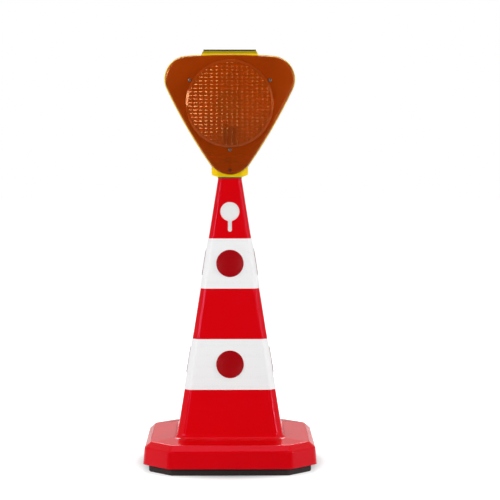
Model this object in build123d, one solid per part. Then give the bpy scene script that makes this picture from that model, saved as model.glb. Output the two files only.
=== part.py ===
from build123d import *
import os
from math import asin, atan, cos, degrees, radians, sin, sqrt, tan

# Square traffic cone with a solar warning light that plugs into its top.
# Millimetres. +Z is up, the ground is z = 0, and the cone's axis is the Z axis.
# The front of the cone and of the lamp faces -Y.

# Cone moulding
CONE_TOP_Z = 755.0
CONE_TOP_WIDTH = 61.5
CONE_TOP_CUT = 8.0
CONE_TOP_ROUND = 6.0
CONE_FOOT_WIDTH = 277.0
CONE_FOOT_CUT = 17.0
CONE_FOOT_ROUND = 12.0
CONE_FOOT_FILLET = 14.0
CONE_WALL = 4.0
TOP_HOLE_GAP = 4.0
LEAST_ROUND = 1.0

# Base of the cone moulding
BASE_WIDTH = 450.0
BASE_CUT = 68.0
BASE_ROUND = 22.0
SKIRT_BOTTOM_Z = 20.0
SKIRT_HEIGHT = 43.4
SKIRT_DRAFT = 3.8
SHOULDER_INSET = 16.5
SHOULDER_HEIGHT = 14.4
SHOULDER_ROUND = 14.0
SHOULDER_FILLET = 6.0
BASE_RISE = 5.8
BOSS_RADIUS = 9.0
BOSS_INSET = 30.0

# Keyhole windows and the white socket that snaps into them
KEYHOLE_Z = 668.6
KEYHOLE_RADIUS = 25.0
KEYHOLE_SLOT_WIDTH = 10.0
KEYHOLE_SLOT_DROP = 48.1
KEYHOLE_NECK_ROUND = 4.0
KEYHOLE_FIT = 0.3
KEYHOLE_RECESS = 0.8
SOCKET_BELOW_SLOT = 9.25
SOCKET_WALL = 3.0
SOCKET_FIT = 0.3
SOCKET_DECK = 5.0
SOCKET_CUP_WALL = 3.0
SOCKET_CUP_GAP = 2.0

# White bands and round reflectors
LOWER_BAND_Z = 208.2
UPPER_BAND_Z = 468.5
BAND_HEIGHT = 129.7
BAND_THICKNESS = 1.0
BAND_FIT = 0.1
REFLECTOR_RADIUS = 36.0
REFLECTOR_THICKNESS = 2.2
REFLECTOR_EDGE = 0.9
REFLECTOR_STUD_RADIUS = 4.0
REFLECTOR_STUD_FIT = 0.2
PUSH_NUT_RADIUS = 9.0
PUSH_NUT_THICKNESS = 1.0
PUSH_NUT_FIT = 0.05
STUD_END = 2.0

# Rubber foot
FOOT_INSET = 15.0
FOOT_ROUND = 14.0
FOOT_FLANGE_Z = 24.0
FOOT_TOP_Z = 41.0
FOOT_FIT = 0.5
FOOT_OPENING = 244.0
FOOT_OPENING_ROUND = 24.0
FOOT_EDGE = 2.5
FOOT_SCREW_RADIUS = 3.0
FOOT_SCREW_FIT = 0.1
FOOT_SCREW_TIP_GAP = 3.0
FOOT_SCREW_HEAD_RADIUS = 6.5
FOOT_SCREW_HEAD = 4.0
FOOT_SCREW_SINK = 7.0
FOOT_SCREW_SINK_RADIUS = 8.0

# Spigot that plugs into the cone and carries the swivel
SPIGOT_FLANGE = 3.0
SPIGOT_FLANGE_OVERHANG = 0.5
SPIGOT_PLUG_RADIUS = 17.0
SPIGOT_PLUG_LENGTH = 70.0
SPIGOT_PLUG_FIT = 0.3
SPIGOT_PLUG_LEAD = 3.0
SPIGOT_BORE_RADIUS = 9.0
JOURNAL_RADIUS = 18.0
JOURNAL_FIT = 0.08
SWIVEL_GAP = 0.3
SWIVEL_STUB_RADIUS = 14.0
SWIVEL_THREAD_FIT = 0.05
SWIVEL_WASHER_OVERLAP = 4.0
SWIVEL_WASHER = 2.0
SWIVEL_NUT = 10.0
SWIVEL_NUT_FLATS = 40.0
SWIVEL_STUB_END = 3.0

# Lamp housing
HOUSING_INRADIUS = 129.8
HOUSING_CORNER = 62.0
HOUSING_SIDE_RADIUS = 1400.0
HOUSING_DEPTH = 50.0
HOUSING_WALL = 3.0
HOUSING_EDGE = 1.2
LOWER_SIDE_TILT = 30.0
APEX_GAP = 5.0
SEAT_WIDTH = 7.0
SEAT_THICKNESS = 4.0
BULKHEAD = 3.0
BULKHEAD_CLEARANCE = 4.0
COLLAR_WIDTH = 96.0
COLLAR_STEP = 1.0
COLLAR_CUT = 15.0
COLLAR_HEIGHT = 36.0
COLLAR_BEVEL_WIDTH = 15.0
COLLAR_BEVEL_HEIGHT = 6.0
TRAY_WIDTH = 150.0
TRAY_TOP_WIDTH = 140.0
TRAY_STEP = 1.5
TRAY_HEIGHT = 7.4
TRAY_EDGE = 1.5
BOARD_POST_RADIUS = 4.0
BOARD_POST_HEIGHT = 5.0

# Lenses
LENS_RIM = 2.6
LENS_DEPTH = 9.0
LENS_WALL = 3.0
LENS_EDGE = 4.5
DRUM_MARGIN = 11.7
DRUM_TAPER = 3.5
DRUM_HEIGHT = 7.0
DRUM_EDGE = 2.0
DOME_RISE = 12.0
PRISM_MARGIN = 4.0
PRISM_PITCH = 9.9
PRISM_GROOVE_DEPTH = 1.0
PRISM_GROOVE_WIDTH = 3.0
LENS_SCREW_GAP = 1.8
LENS_SCREW_RADIUS = 1.9
LENS_SCREW_FIT = 0.1
LENS_SCREW_GRIP = 12.0
LENS_SCREW_HEAD_RADIUS = 4.2
LENS_SCREW_HEAD = 2.6
LENS_SCREW_SINK = 1.3
LENS_SCREW_SINK_FIT = 0.3
SCREW_HEAD_EASE = 0.4
LENS_POST_RADIUS = 5.5
LOCK_SCREW_INSET = 14.1
LOCK_SCREW_RADIUS = 1.5
LOCK_SCREW_GRIP = 4.0
LOCK_SCREW_HEAD_RADIUS = 3.0
LOCK_POST_RADIUS = 4.6
GASKET_WIDTH = 2.0
GASKET_HEIGHT = 1.6
GASKET_INSET = 0.5

# Solar panel
PANEL_MARGIN = 1.0
PANEL_THICKNESS = 3.0
PANEL_EDGE = 0.6
SEAL_MARGIN = 1.5
SEAL_WIDTH = 6.0
SEAL_THICKNESS = 1.0

# Light boards, battery and control circuit
BOARD_THICKNESS = 1.6
LED_BOARD_RADIUS = 36.0
LED_CIRCLE = 22.0
LED_COUNT = 6
LED_RADIUS = 4.0
LED_HEIGHT = 5.0
LED_FLANGE = 0.6
LED_BOARD_SCREW_INSET = 5.0
BOARD_SCREW_RADIUS = 1.4
BOARD_SCREW_FIT = 0.1
BOARD_SCREW_GRIP = 4.0
BOARD_SCREW_HEAD_RADIUS = 2.6
BOARD_SCREW_HEAD = 1.6
CELL_COUNT = 3
CELL_RADIUS = 7.2
CELL_LENGTH = 49.2
CELL_TIP = 1.3
CELL_TIP_RADIUS = 2.7
CELL_FIT = 0.3
HOLDER_WALL = 2.0
HOLDER_LIP = 0.6
HOLDER_ABOVE_POST = 4.0
CONTROL_WIDTH = 66.0
CONTROL_HEIGHT = 46.0
CONTROL_BELOW_BOARD = 16.0
CONTROL_SCREW_INSET = 4.0

# Push switch in the lower right side of the housing
SWITCH_POCKET_FIT = 1.5
SWITCH_POCKET = 4.5
SWITCH_PAD_WALL = 2.0
SWITCH_PAD_FLOOR = 3.0
SWITCH_BEZEL_RADIUS = 9.5
SWITCH_BEZEL = 1.8
SWITCH_BARREL_RADIUS = 6.0
SWITCH_BARREL = 24.0
SWITCH_BARREL_FIT = 0.1
SWITCH_NUT = 3.0
SWITCH_NUT_FLATS = 16.0
SWITCH_NUT_GAP = 1.25
BUTTON_RADIUS = 4.0
BUTTON_FIT = 0.3
BUTTON_PROUD = 2.5
BUTTON_LENGTH = 9.0
BUTTON_TRAVEL = 2.0
BUTTON_EDGE = 0.8

# Parts on the control board, measured from the board's middle
SOCKET_BLOCK = 9.0
SOCKET_BLOCK_HEIGHT = 8.0
TOP_SOCKET_DROP = 5.0
SOLAR_SOCKET_X = 14.0
REAR_LED_SOCKET_X = 0.0
FRONT_LED_SOCKET_X = -21.0
SIDE_SOCKET_X = 27.0
SIDE_SOCKET_RISE = 7.0
CHIP_SIZE = 14.0
CHIP_HEIGHT = 2.2
COIL_PLACE = (-18.0, 4.0)
COIL_RADIUS = 6.0
COIL_HEIGHT = 7.0
CAPACITOR_PLACE = (-18.0, -11.0)
CAPACITOR_RADIUS = 4.0
CAPACITOR_HEIGHT = 11.0

# Inner leads
LEAD_RADIUS = 1.5
LEAD_HOLE_FIT = 0.7
LEAD_GAP = 0.2
SOLAR_LEAD_X = 48.0
SOLAR_LEAD_Y = 4.0
SOLAR_LEAD_BEND_DROP = 22.0
FRONT_LED_LEAD_DROP = 21.0
REAR_LED_LEAD_DROP = 28.0
LEAD_CROSSING_RISE = 8.0
BATTERY_LEAD_X = 42.0
BATTERY_LEAD_RISE = 8.0
SWITCH_LEAD_RUN = 22.0
SWITCH_LEAD_X = 50.0
LEAD_BEND_SHARE = 0.4

# Values worked out from the sizes above
SKIRT_TOP_Z = SKIRT_BOTTOM_Z + SKIRT_HEIGHT
SHOULDER_TOP_Z = SKIRT_TOP_Z + SHOULDER_HEIGHT
CONE_FOOT_Z = SHOULDER_TOP_Z + BASE_RISE
BOSS_PLACE = (BASE_WIDTH - BASE_CUT) / 2 - BOSS_INSET
FOOT_SCREW_TOP_Z = SKIRT_TOP_Z - FOOT_SCREW_TIP_GAP
TOP_HOLE_RADIUS = SPIGOT_PLUG_RADIUS + TOP_HOLE_GAP
KEYHOLE_BOTTOM_Z = KEYHOLE_Z - KEYHOLE_SLOT_DROP - KEYHOLE_SLOT_WIDTH / 2
SOCKET_BOTTOM_Z = KEYHOLE_BOTTOM_Z - SOCKET_BELOW_SLOT
CONE_TAN = (CONE_FOOT_WIDTH - CONE_TOP_WIDTH) / 2 / (CONE_TOP_Z - CONE_FOOT_Z)
CONE_TILT = atan(CONE_TAN)
WALL_CUT = 4 * CONE_WALL
COLLAR_BOTTOM_Z = CONE_TOP_Z + SPIGOT_FLANGE + SWIVEL_GAP
COLLAR_FLOOR_Z = COLLAR_BOTTOM_Z + COLLAR_HEIGHT
COLLAR_DEPTH = HOUSING_DEPTH - 2 * COLLAR_STEP
SIDE_CENTRE = HOUSING_SIDE_RADIUS - HOUSING_INRADIUS
SIDE_TO_CORNER = HOUSING_SIDE_RADIUS - HOUSING_CORNER
CORNER_CENTRE = (sqrt(4 * SIDE_TO_CORNER**2 - 3 * SIDE_CENTRE**2) - SIDE_CENTRE) / 2
HOUSING_REACH = CORNER_CENTRE + HOUSING_CORNER
LAMP_Z = CONE_TOP_Z + SPIGOT_FLANGE + APEX_GAP + HOUSING_REACH
LENS_FACE = HOUSING_DEPTH / 2 + LENS_DEPTH
DRUM_BASE_RADIUS = HOUSING_INRADIUS - LENS_RIM - DRUM_MARGIN
DRUM_TOP_RADIUS = DRUM_BASE_RADIUS - DRUM_TAPER
PRISM_FIELD_RADIUS = DRUM_TOP_RADIUS - PRISM_MARGIN
LENS_SCREW_CIRCLE = DRUM_BASE_RADIUS + LENS_SCREW_HEAD_RADIUS + LENS_SCREW_GAP
LOCK_SCREW_DROP = HOUSING_REACH - LOCK_SCREW_INSET
SWIVEL_WASHER_RADIUS = JOURNAL_RADIUS + SWIVEL_WASHER_OVERLAP
WASHER_Z = COLLAR_FLOOR_Z + SWIVEL_GAP
STUB_TOP_Z = WASHER_Z + SWIVEL_WASHER + SWIVEL_NUT + SWIVEL_STUB_END
TRAY_TOP_Z = LAMP_Z + HOUSING_INRADIUS + TRAY_HEIGHT
TRAY_DEPTH = HOUSING_DEPTH - 2 * TRAY_STEP
TRAY_SAG = HOUSING_SIDE_RADIUS - sqrt(HOUSING_SIDE_RADIUS**2 - (TRAY_WIDTH / 2) ** 2)
PANEL_WIDTH = TRAY_TOP_WIDTH - 2 * PANEL_MARGIN
PANEL_DEPTH = TRAY_DEPTH - 2 * PANEL_MARGIN
BOARD_FACE = BULKHEAD / 2 + BOARD_POST_HEIGHT
LED_BOARD_SCREW_CIRCLE = LED_BOARD_RADIUS - LED_BOARD_SCREW_INSET
CELL_PITCH = 2 * CELL_RADIUS + CELL_FIT
HOLDER_HALF_WIDTH = (CELL_COUNT * CELL_PITCH + CELL_FIT) / 2 + HOLDER_WALL
HOLDER_BOTTOM_Z = LAMP_Z - LENS_SCREW_CIRCLE + LENS_POST_RADIUS + HOLDER_ABOVE_POST
SWITCH_POCKET_RADIUS = SWITCH_BEZEL_RADIUS + SWITCH_POCKET_FIT
SWITCH_PAD_RADIUS = SWITCH_POCKET_RADIUS + SWITCH_PAD_WALL
SWITCH_PAD = SWITCH_POCKET + SWITCH_PAD_FLOOR
SWITCH_Y = BULKHEAD / 2 + SWITCH_NUT_FLATS / sqrt(3) + SWITCH_NUT_GAP
CORNER_ANGLES = (30, 150, 270)
LEVEL_TOLERANCE = 0.01

FACE_ANGLES = {"front": 0, "right": 90, "rear": 180, "left": 270}
OFFSET_CUT = 2 - sqrt(2)
lamp_plane = Plane((0, 0, LAMP_Z), x_dir=(1, 0, 0), z_dir=(0, -1, 0))
turn_profile_plane = Plane((0, 0, LAMP_Z), x_dir=(1, 0, 0), z_dir=(0, 0, -1))
half_turn = Rot(0, 0, 180)


def cut_square(half, cut, radius, z):
    """Square face with 45-degree corner cuts and softened corners, at height z."""
    near = half - cut
    corners = [
        (near, -half), (half, -near), (half, near), (near, half),
        (-near, half), (-half, near), (-half, -near), (-near, -half),
    ]
    outline = Polygon(*corners, align=None)
    return Pos(0, 0, z) * fillet(outline.vertices(), radius)


def cone_share(z):
    """How far up the cone's faces the height z is, from 0 at the foot to 1 at the top."""
    return (z - CONE_FOOT_Z) / (CONE_TOP_Z - CONE_FOOT_Z)


def cone_half(z):
    """Half the width across the cone's flat faces at height z."""
    return CONE_FOOT_WIDTH / 2 - (z - CONE_FOOT_Z) * CONE_TAN


def cone_section(z, grow=0.0):
    """Section of the cone at height z, moved out by grow measured square to the faces."""
    share = cone_share(z)
    out = grow / cos(CONE_TILT)
    cut = CONE_FOOT_CUT + share * (CONE_TOP_CUT - CONE_FOOT_CUT)
    radius = CONE_FOOT_ROUND + share * (CONE_TOP_ROUND - CONE_FOOT_ROUND)
    return cut_square(cone_half(z) + out, cut + out * OFFSET_CUT, max(radius + out, LEAST_ROUND), z)


def cone_span(low, high, grow=0.0):
    """Solid length of the cone between two heights, moved out by grow."""
    return loft([cone_section(low, grow), cone_section(high, grow)], ruled=True)


def base_section(z, inset, radius=BASE_ROUND):
    """Section of the base, inset from its widest outline."""
    return cut_square(BASE_WIDTH / 2 - inset, BASE_CUT - inset * OFFSET_CUT, radius, z)


def skirt_inset(z):
    """How far the drafted skirt has come in at height z."""
    return SKIRT_DRAFT * (z - SKIRT_BOTTOM_Z) / SKIRT_HEIGHT


def level_edges(solid, z, reach):
    """Edges that lie level at height z and reach further out than reach."""
    return [
        edge
        for edge in solid.edges()
        if abs(edge.center().Z - z) < LEVEL_TOLERANCE
        and edge.bounding_box().size.Z < LEVEL_TOLERANCE
        and max(abs(edge.center().X), abs(edge.center().Y)) > reach
    ]


def face_plane(z, depth=0.0):
    """Plane on the cone's front face at height z, depth behind the face, looking out of it."""
    outward = Vector(0, -cos(CONE_TILT), sin(CONE_TILT))
    origin = Vector(0, -cone_half(z), z) - outward * depth
    return Plane(origin, x_dir=(1, 0, 0), z_dir=outward)


def keyhole_outline(grow):
    """Round hole with a narrow slot below it, grown by grow, centred on the round hole."""
    slot_half = KEYHOLE_SLOT_WIDTH / 2 + grow
    slot = Pos(0, -KEYHOLE_SLOT_DROP / 2) * Rectangle(2 * slot_half, KEYHOLE_SLOT_DROP)
    slot_end = Pos(0, -KEYHOLE_SLOT_DROP) * Circle(slot_half)
    radius = KEYHOLE_RADIUS + grow
    outline = Circle(radius) + slot + slot_end
    neck_drop = sqrt(radius**2 - slot_half**2)
    necks = [outline.vertices().sort_by_distance((x, -neck_drop))[0] for x in (-slot_half, slot_half)]
    return fillet(necks, KEYHOLE_NECK_ROUND - grow)


def keyhole_block(near, far, grow):
    """Keyhole prism square to the front face, from near to far behind the face."""
    return extrude(face_plane(KEYHOLE_Z, far) * keyhole_outline(grow), far - near)


def reflector_heights():
    """Heights of the middle of each white band, by name."""
    return {
        "upper": UPPER_BAND_Z + BAND_HEIGHT / 2,
        "lower": LOWER_BAND_Z + BAND_HEIGHT / 2,
    }


def stud_holes():
    """Round holes for the eight reflector studs, through band and wall."""
    holes = []
    for z in reflector_heights().values():
        outline = Circle(REFLECTOR_STUD_RADIUS + REFLECTOR_STUD_FIT)
        hole = extrude(face_plane(z, WALL_CUT) * outline, 2 * WALL_CUT)
        holes += [Rot(0, 0, angle) * hole for angle in FACE_ANGLES.values()]
    return holes


def boss_places():
    """The four places of the foot screws."""
    return GridLocations(2 * BOSS_PLACE, 2 * BOSS_PLACE, 2, 2)


def upright(radius, low, high):
    """Upright round rod between two heights."""
    return Pos(0, 0, low) * extrude(Circle(radius), high - low)


def cone_shell():
    """Red moulding: a hollow square pyramid on a wide hollow base with cut corners."""
    outer = loft(
        [
            base_section(SKIRT_BOTTOM_Z, 0),
            base_section(SKIRT_TOP_Z, SKIRT_DRAFT),
            base_section(SHOULDER_TOP_Z, SKIRT_DRAFT + SHOULDER_INSET, SHOULDER_ROUND),
            cone_section(CONE_FOOT_Z),
            cone_section(CONE_TOP_Z),
        ],
        ruled=True,
    )
    outer = fillet(level_edges(outer, CONE_FOOT_Z, 0), CONE_FOOT_FILLET)
    for z in (SHOULDER_TOP_Z, SKIRT_TOP_Z):
        outer = fillet(level_edges(outer, z, 0), SHOULDER_FILLET)
    inner_round = BASE_ROUND - CONE_WALL
    inner_top = SHOULDER_TOP_Z - CONE_WALL
    hollow = loft(
        [
            base_section(SKIRT_BOTTOM_Z, CONE_WALL, inner_round),
            base_section(SKIRT_TOP_Z - CONE_WALL / 2, SKIRT_DRAFT + CONE_WALL, inner_round),
            base_section(inner_top, SKIRT_DRAFT + SHOULDER_INSET + CONE_WALL / 2, SHOULDER_ROUND - CONE_WALL),
            cone_section(CONE_FOOT_Z - CONE_WALL, -CONE_WALL),
            cone_section(CONE_TOP_Z - CONE_WALL, -CONE_WALL),
        ],
        ruled=True,
    )
    shell = outer - hollow
    bosses = [place * upright(BOSS_RADIUS, FOOT_TOP_Z, CONE_FOOT_Z) for place in boss_places()]
    shell = shell + [boss & outer for boss in bosses]
    pilot = upright(FOOT_SCREW_RADIUS + FOOT_SCREW_FIT, FOOT_TOP_Z, FOOT_SCREW_TOP_Z)
    window = keyhole_block(-WALL_CUT, WALL_CUT, KEYHOLE_FIT)
    cuts = [place * pilot for place in boss_places()]
    cuts += [window, half_turn * window]
    cuts += stud_holes()
    cuts += [upright(TOP_HOLE_RADIUS, CONE_TOP_Z - WALL_CUT, CONE_TOP_Z)]
    return shell - cuts


def lamp_socket():
    """White insert wedged up inside the cone, with a cup for the spigot and keyhole bosses."""
    outside = -CONE_WALL - SOCKET_FIT
    top_z = CONE_TOP_Z - CONE_WALL
    body = cone_span(SOCKET_BOTTOM_Z, top_z, outside)
    hollow = cone_span(SOCKET_BOTTOM_Z, top_z - SOCKET_DECK, outside - SOCKET_WALL)
    cup_radius = SPIGOT_PLUG_RADIUS + SPIGOT_PLUG_FIT
    cup_floor = CONE_TOP_Z - SPIGOT_PLUG_LENGTH - SOCKET_CUP_GAP
    cup = upright(cup_radius + SOCKET_CUP_WALL, cup_floor - SOCKET_CUP_WALL, top_z - SOCKET_DECK / 2)
    boss = keyhole_block(KEYHOLE_RECESS, CONE_WALL + SOCKET_FIT + SOCKET_WALL / 2, 0)
    return body - hollow + [cup, boss, half_turn * boss] - upright(cup_radius, cup_floor, top_z)


def band(low):
    """White sleeve round the cone, from height low up."""
    high = low + BAND_HEIGHT
    sleeve = cone_span(low, high, BAND_FIT + BAND_THICKNESS) - cone_span(low, high, BAND_FIT)
    return sleeve - stud_holes()


def reflector(z):
    """Round reflector on the front face at height z, with its stud through the wall."""
    seat = face_plane(z, -BAND_FIT - BAND_THICKNESS)
    disc = extrude(seat * Circle(REFLECTOR_RADIUS), REFLECTOR_THICKNESS)
    disc = fillet(disc.edges().sort_by(Axis.Y)[0], REFLECTOR_EDGE)
    stud = CONE_WALL + BAND_FIT + BAND_THICKNESS + PUSH_NUT_THICKNESS + STUD_END
    return disc + extrude(seat * Circle(REFLECTOR_STUD_RADIUS), -stud)


def push_nut(z):
    """Spring-steel ring pushed over a reflector stud inside the front wall."""
    ring = Circle(PUSH_NUT_RADIUS) - Circle(REFLECTOR_STUD_RADIUS + PUSH_NUT_FIT)
    return extrude(face_plane(z, CONE_WALL) * ring, -PUSH_NUT_THICKNESS)


def reflector_push_nuts():
    """The eight push nuts as one group."""
    nuts = [push_nut(z) for z in reflector_heights().values()]
    return Compound([Rot(0, 0, angle) * nut for nut in nuts for angle in FACE_ANGLES.values()])


def ballast_foot():
    """Black rubber ring under the base, with a flange that fills the skirt."""
    pad = extrude(base_section(0, FOOT_INSET, FOOT_ROUND), FOOT_FLANGE_Z)
    pad = chamfer(level_edges(pad, 0, 0), FOOT_EDGE)
    flange_inset = skirt_inset(FOOT_TOP_Z) + CONE_WALL + FOOT_FIT
    flange = extrude(base_section(FOOT_FLANGE_Z, flange_inset), FOOT_TOP_Z - FOOT_FLANGE_Z)
    opening = extrude(RectangleRounded(FOOT_OPENING, FOOT_OPENING, FOOT_OPENING_ROUND), FOOT_TOP_Z)
    cuts = [opening]
    for place in boss_places():
        cuts += [place * upright(FOOT_SCREW_RADIUS + FOOT_SCREW_FIT, 0, FOOT_TOP_Z)]
        cuts += [place * upright(FOOT_SCREW_SINK_RADIUS, 0, FOOT_SCREW_SINK)]
    return pad + flange - cuts


def foot_screws():
    """Four pan-head screws that hold the foot to the bosses in the base."""
    head = upright(FOOT_SCREW_HEAD_RADIUS, FOOT_SCREW_SINK - FOOT_SCREW_HEAD, FOOT_SCREW_SINK)
    shank = upright(FOOT_SCREW_RADIUS, FOOT_SCREW_SINK, FOOT_SCREW_TOP_Z)
    return Compound([place * (head + shank) for place in boss_places()])


def spigot():
    """Black plug with a square flange, a journal for the lamp head and a threaded stub."""
    flange_half = CONE_TOP_WIDTH / 2 + SPIGOT_FLANGE_OVERHANG
    flange_face = cut_square(flange_half, CONE_TOP_CUT, CONE_TOP_ROUND, CONE_TOP_Z)
    flange = extrude(flange_face, SPIGOT_FLANGE)
    plug = upright(SPIGOT_PLUG_RADIUS, CONE_TOP_Z - SPIGOT_PLUG_LENGTH, CONE_TOP_Z)
    plug = chamfer(level_edges(plug, CONE_TOP_Z - SPIGOT_PLUG_LENGTH, -1), SPIGOT_PLUG_LEAD)
    journal = upright(JOURNAL_RADIUS, CONE_TOP_Z + SPIGOT_FLANGE, WASHER_Z)
    stub = upright(SWIVEL_STUB_RADIUS, WASHER_Z, STUB_TOP_Z)
    bore = upright(SPIGOT_BORE_RADIUS, CONE_TOP_Z - SPIGOT_PLUG_LENGTH, STUB_TOP_Z)
    return plug + flange + journal + stub - bore


def swivel_washer():
    """Washer clamped on the journal's shoulder, just above the collar's floor."""
    ring = Circle(SWIVEL_WASHER_RADIUS) - Circle(SWIVEL_STUB_RADIUS + SWIVEL_THREAD_FIT)
    return Pos(0, 0, WASHER_Z) * extrude(ring, SWIVEL_WASHER)


def swivel_nut():
    """Hexagon nut on the spigot's stub that keeps the lamp head on."""
    hexagon = RegularPolygon(SWIVEL_NUT_FLATS / 2, 6, major_radius=False)
    ring = hexagon - Circle(SWIVEL_STUB_RADIUS + SWIVEL_THREAD_FIT)
    return Pos(0, 0, WASHER_Z + SWIVEL_WASHER) * extrude(ring, SWIVEL_NUT)


def lamp_triangle(inset):
    """Outline of the lamp housing, inset evenly: one corner down, bowed sides and round corners."""
    disc = Circle(HOUSING_SIDE_RADIUS - inset)
    discs = [Rot(0, 0, angle) * Pos(SIDE_CENTRE, 0) * disc for angle in CORNER_ANGLES]
    outline = discs[0] & discs[1] & discs[2]
    return fillet(outline.vertices(), HOUSING_CORNER - inset)


def front_block(outline, near, far):
    """Outline seen from the front, as a block from near to far in front of the lamp's middle."""
    return extrude(lamp_plane.offset(near) * outline, far - near)


def collar():
    """Eight-sided block below the housing, bevelled under its left and right ends."""
    half_width = COLLAR_WIDTH / 2
    half_depth = COLLAR_DEPTH / 2
    outline = Rectangle(COLLAR_WIDTH, COLLAR_DEPTH)
    outline = chamfer(outline.vertices(), COLLAR_CUT)
    block = Pos(0, 0, COLLAR_BOTTOM_Z) * extrude(outline, COLLAR_HEIGHT)
    bevel = Polygon(
        (half_width, COLLAR_BOTTOM_Z),
        (half_width, COLLAR_BOTTOM_Z + COLLAR_BEVEL_HEIGHT),
        (half_width - COLLAR_BEVEL_WIDTH, COLLAR_BOTTOM_Z),
        align=None,
    )
    wedge = extrude(Plane.XZ * bevel, half_depth, both=True)
    return block - [wedge, half_turn * wedge]


def solar_tray():
    """Raised tray on top of the housing, narrower at the top and rooted in the bowed wall."""
    low = LAMP_Z + HOUSING_INRADIUS - (TRAY_SAG + HOUSING_WALL) / 2
    outline = Polygon(
        (-TRAY_WIDTH / 2, low),
        (TRAY_WIDTH / 2, low),
        (TRAY_TOP_WIDTH / 2, TRAY_TOP_Z),
        (-TRAY_TOP_WIDTH / 2, TRAY_TOP_Z),
        align=None,
    )
    block = extrude(Plane.XZ * outline, TRAY_DEPTH / 2, both=True)
    level = block.edges().filter_by(Axis.X) + block.edges().filter_by(Axis.Y)
    return fillet([edge for edge in block.edges() if edge not in level], TRAY_EDGE)


def lens_screw_places():
    """The three places of the lens screws, in the lamp's own plane."""
    return [
        Pos(LENS_SCREW_CIRCLE * cos(radians(angle)), LENS_SCREW_CIRCLE * sin(radians(angle)))
        for angle in CORNER_ANGLES
    ]


def lock_screw_place():
    """The place of the lock screw near the lower corner, in the lamp's own plane."""
    return Pos(0, -LOCK_SCREW_DROP)


def gasket():
    """Seal in the groove of the front seat."""
    outside = LENS_RIM + GASKET_INSET
    ring = lamp_triangle(outside) - lamp_triangle(outside + GASKET_WIDTH)
    return front_block(ring, HOUSING_DEPTH / 2 - GASKET_HEIGHT, HOUSING_DEPTH / 2)


def led_post_places():
    """The three posts that carry each light board."""
    return PolarLocations(LED_BOARD_SCREW_CIRCLE, 3, start_angle=90)


def control_middle():
    """Height of the control board's middle, below the lamp's middle."""
    return -LED_BOARD_RADIUS - CONTROL_BELOW_BOARD - CONTROL_HEIGHT / 2


def control_post_places():
    """The four posts that carry the control board."""
    across = CONTROL_WIDTH - 2 * CONTROL_SCREW_INSET
    along = CONTROL_HEIGHT - 2 * CONTROL_SCREW_INSET
    return [Pos(0, control_middle()) * place for place in GridLocations(across, along, 2, 2)]


def board_post():
    """Post with a pilot hole, drawn on the lamp's own plane."""
    return Circle(BOARD_POST_RADIUS) - Circle(BOARD_SCREW_RADIUS + BOARD_SCREW_FIT)


def switch_plane(depth):
    """Plane on the lower right side of the housing, depth below its surface, looking out."""
    tilt = radians(LOWER_SIDE_TILT)
    outward = Vector(cos(tilt), 0, -sin(tilt))
    origin = Vector(0, SWITCH_Y, LAMP_Z) + outward * (HOUSING_INRADIUS - depth)
    return Plane(origin, x_dir=(0, 1, 0), z_dir=outward)


def switch_rod(outline, near, far):
    """Outline square to the lower right side, as a block from near to far below the surface."""
    return extrude(switch_plane(far) * outline, far - near)


def route_hole(start, end):
    """Round hole for a lead along a straight run of its route."""
    run = Vector(*end) - Vector(*start)
    return extrude(Plane(start, z_dir=run) * Circle(LEAD_RADIUS + LEAD_HOLE_FIT), run.length)


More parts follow.
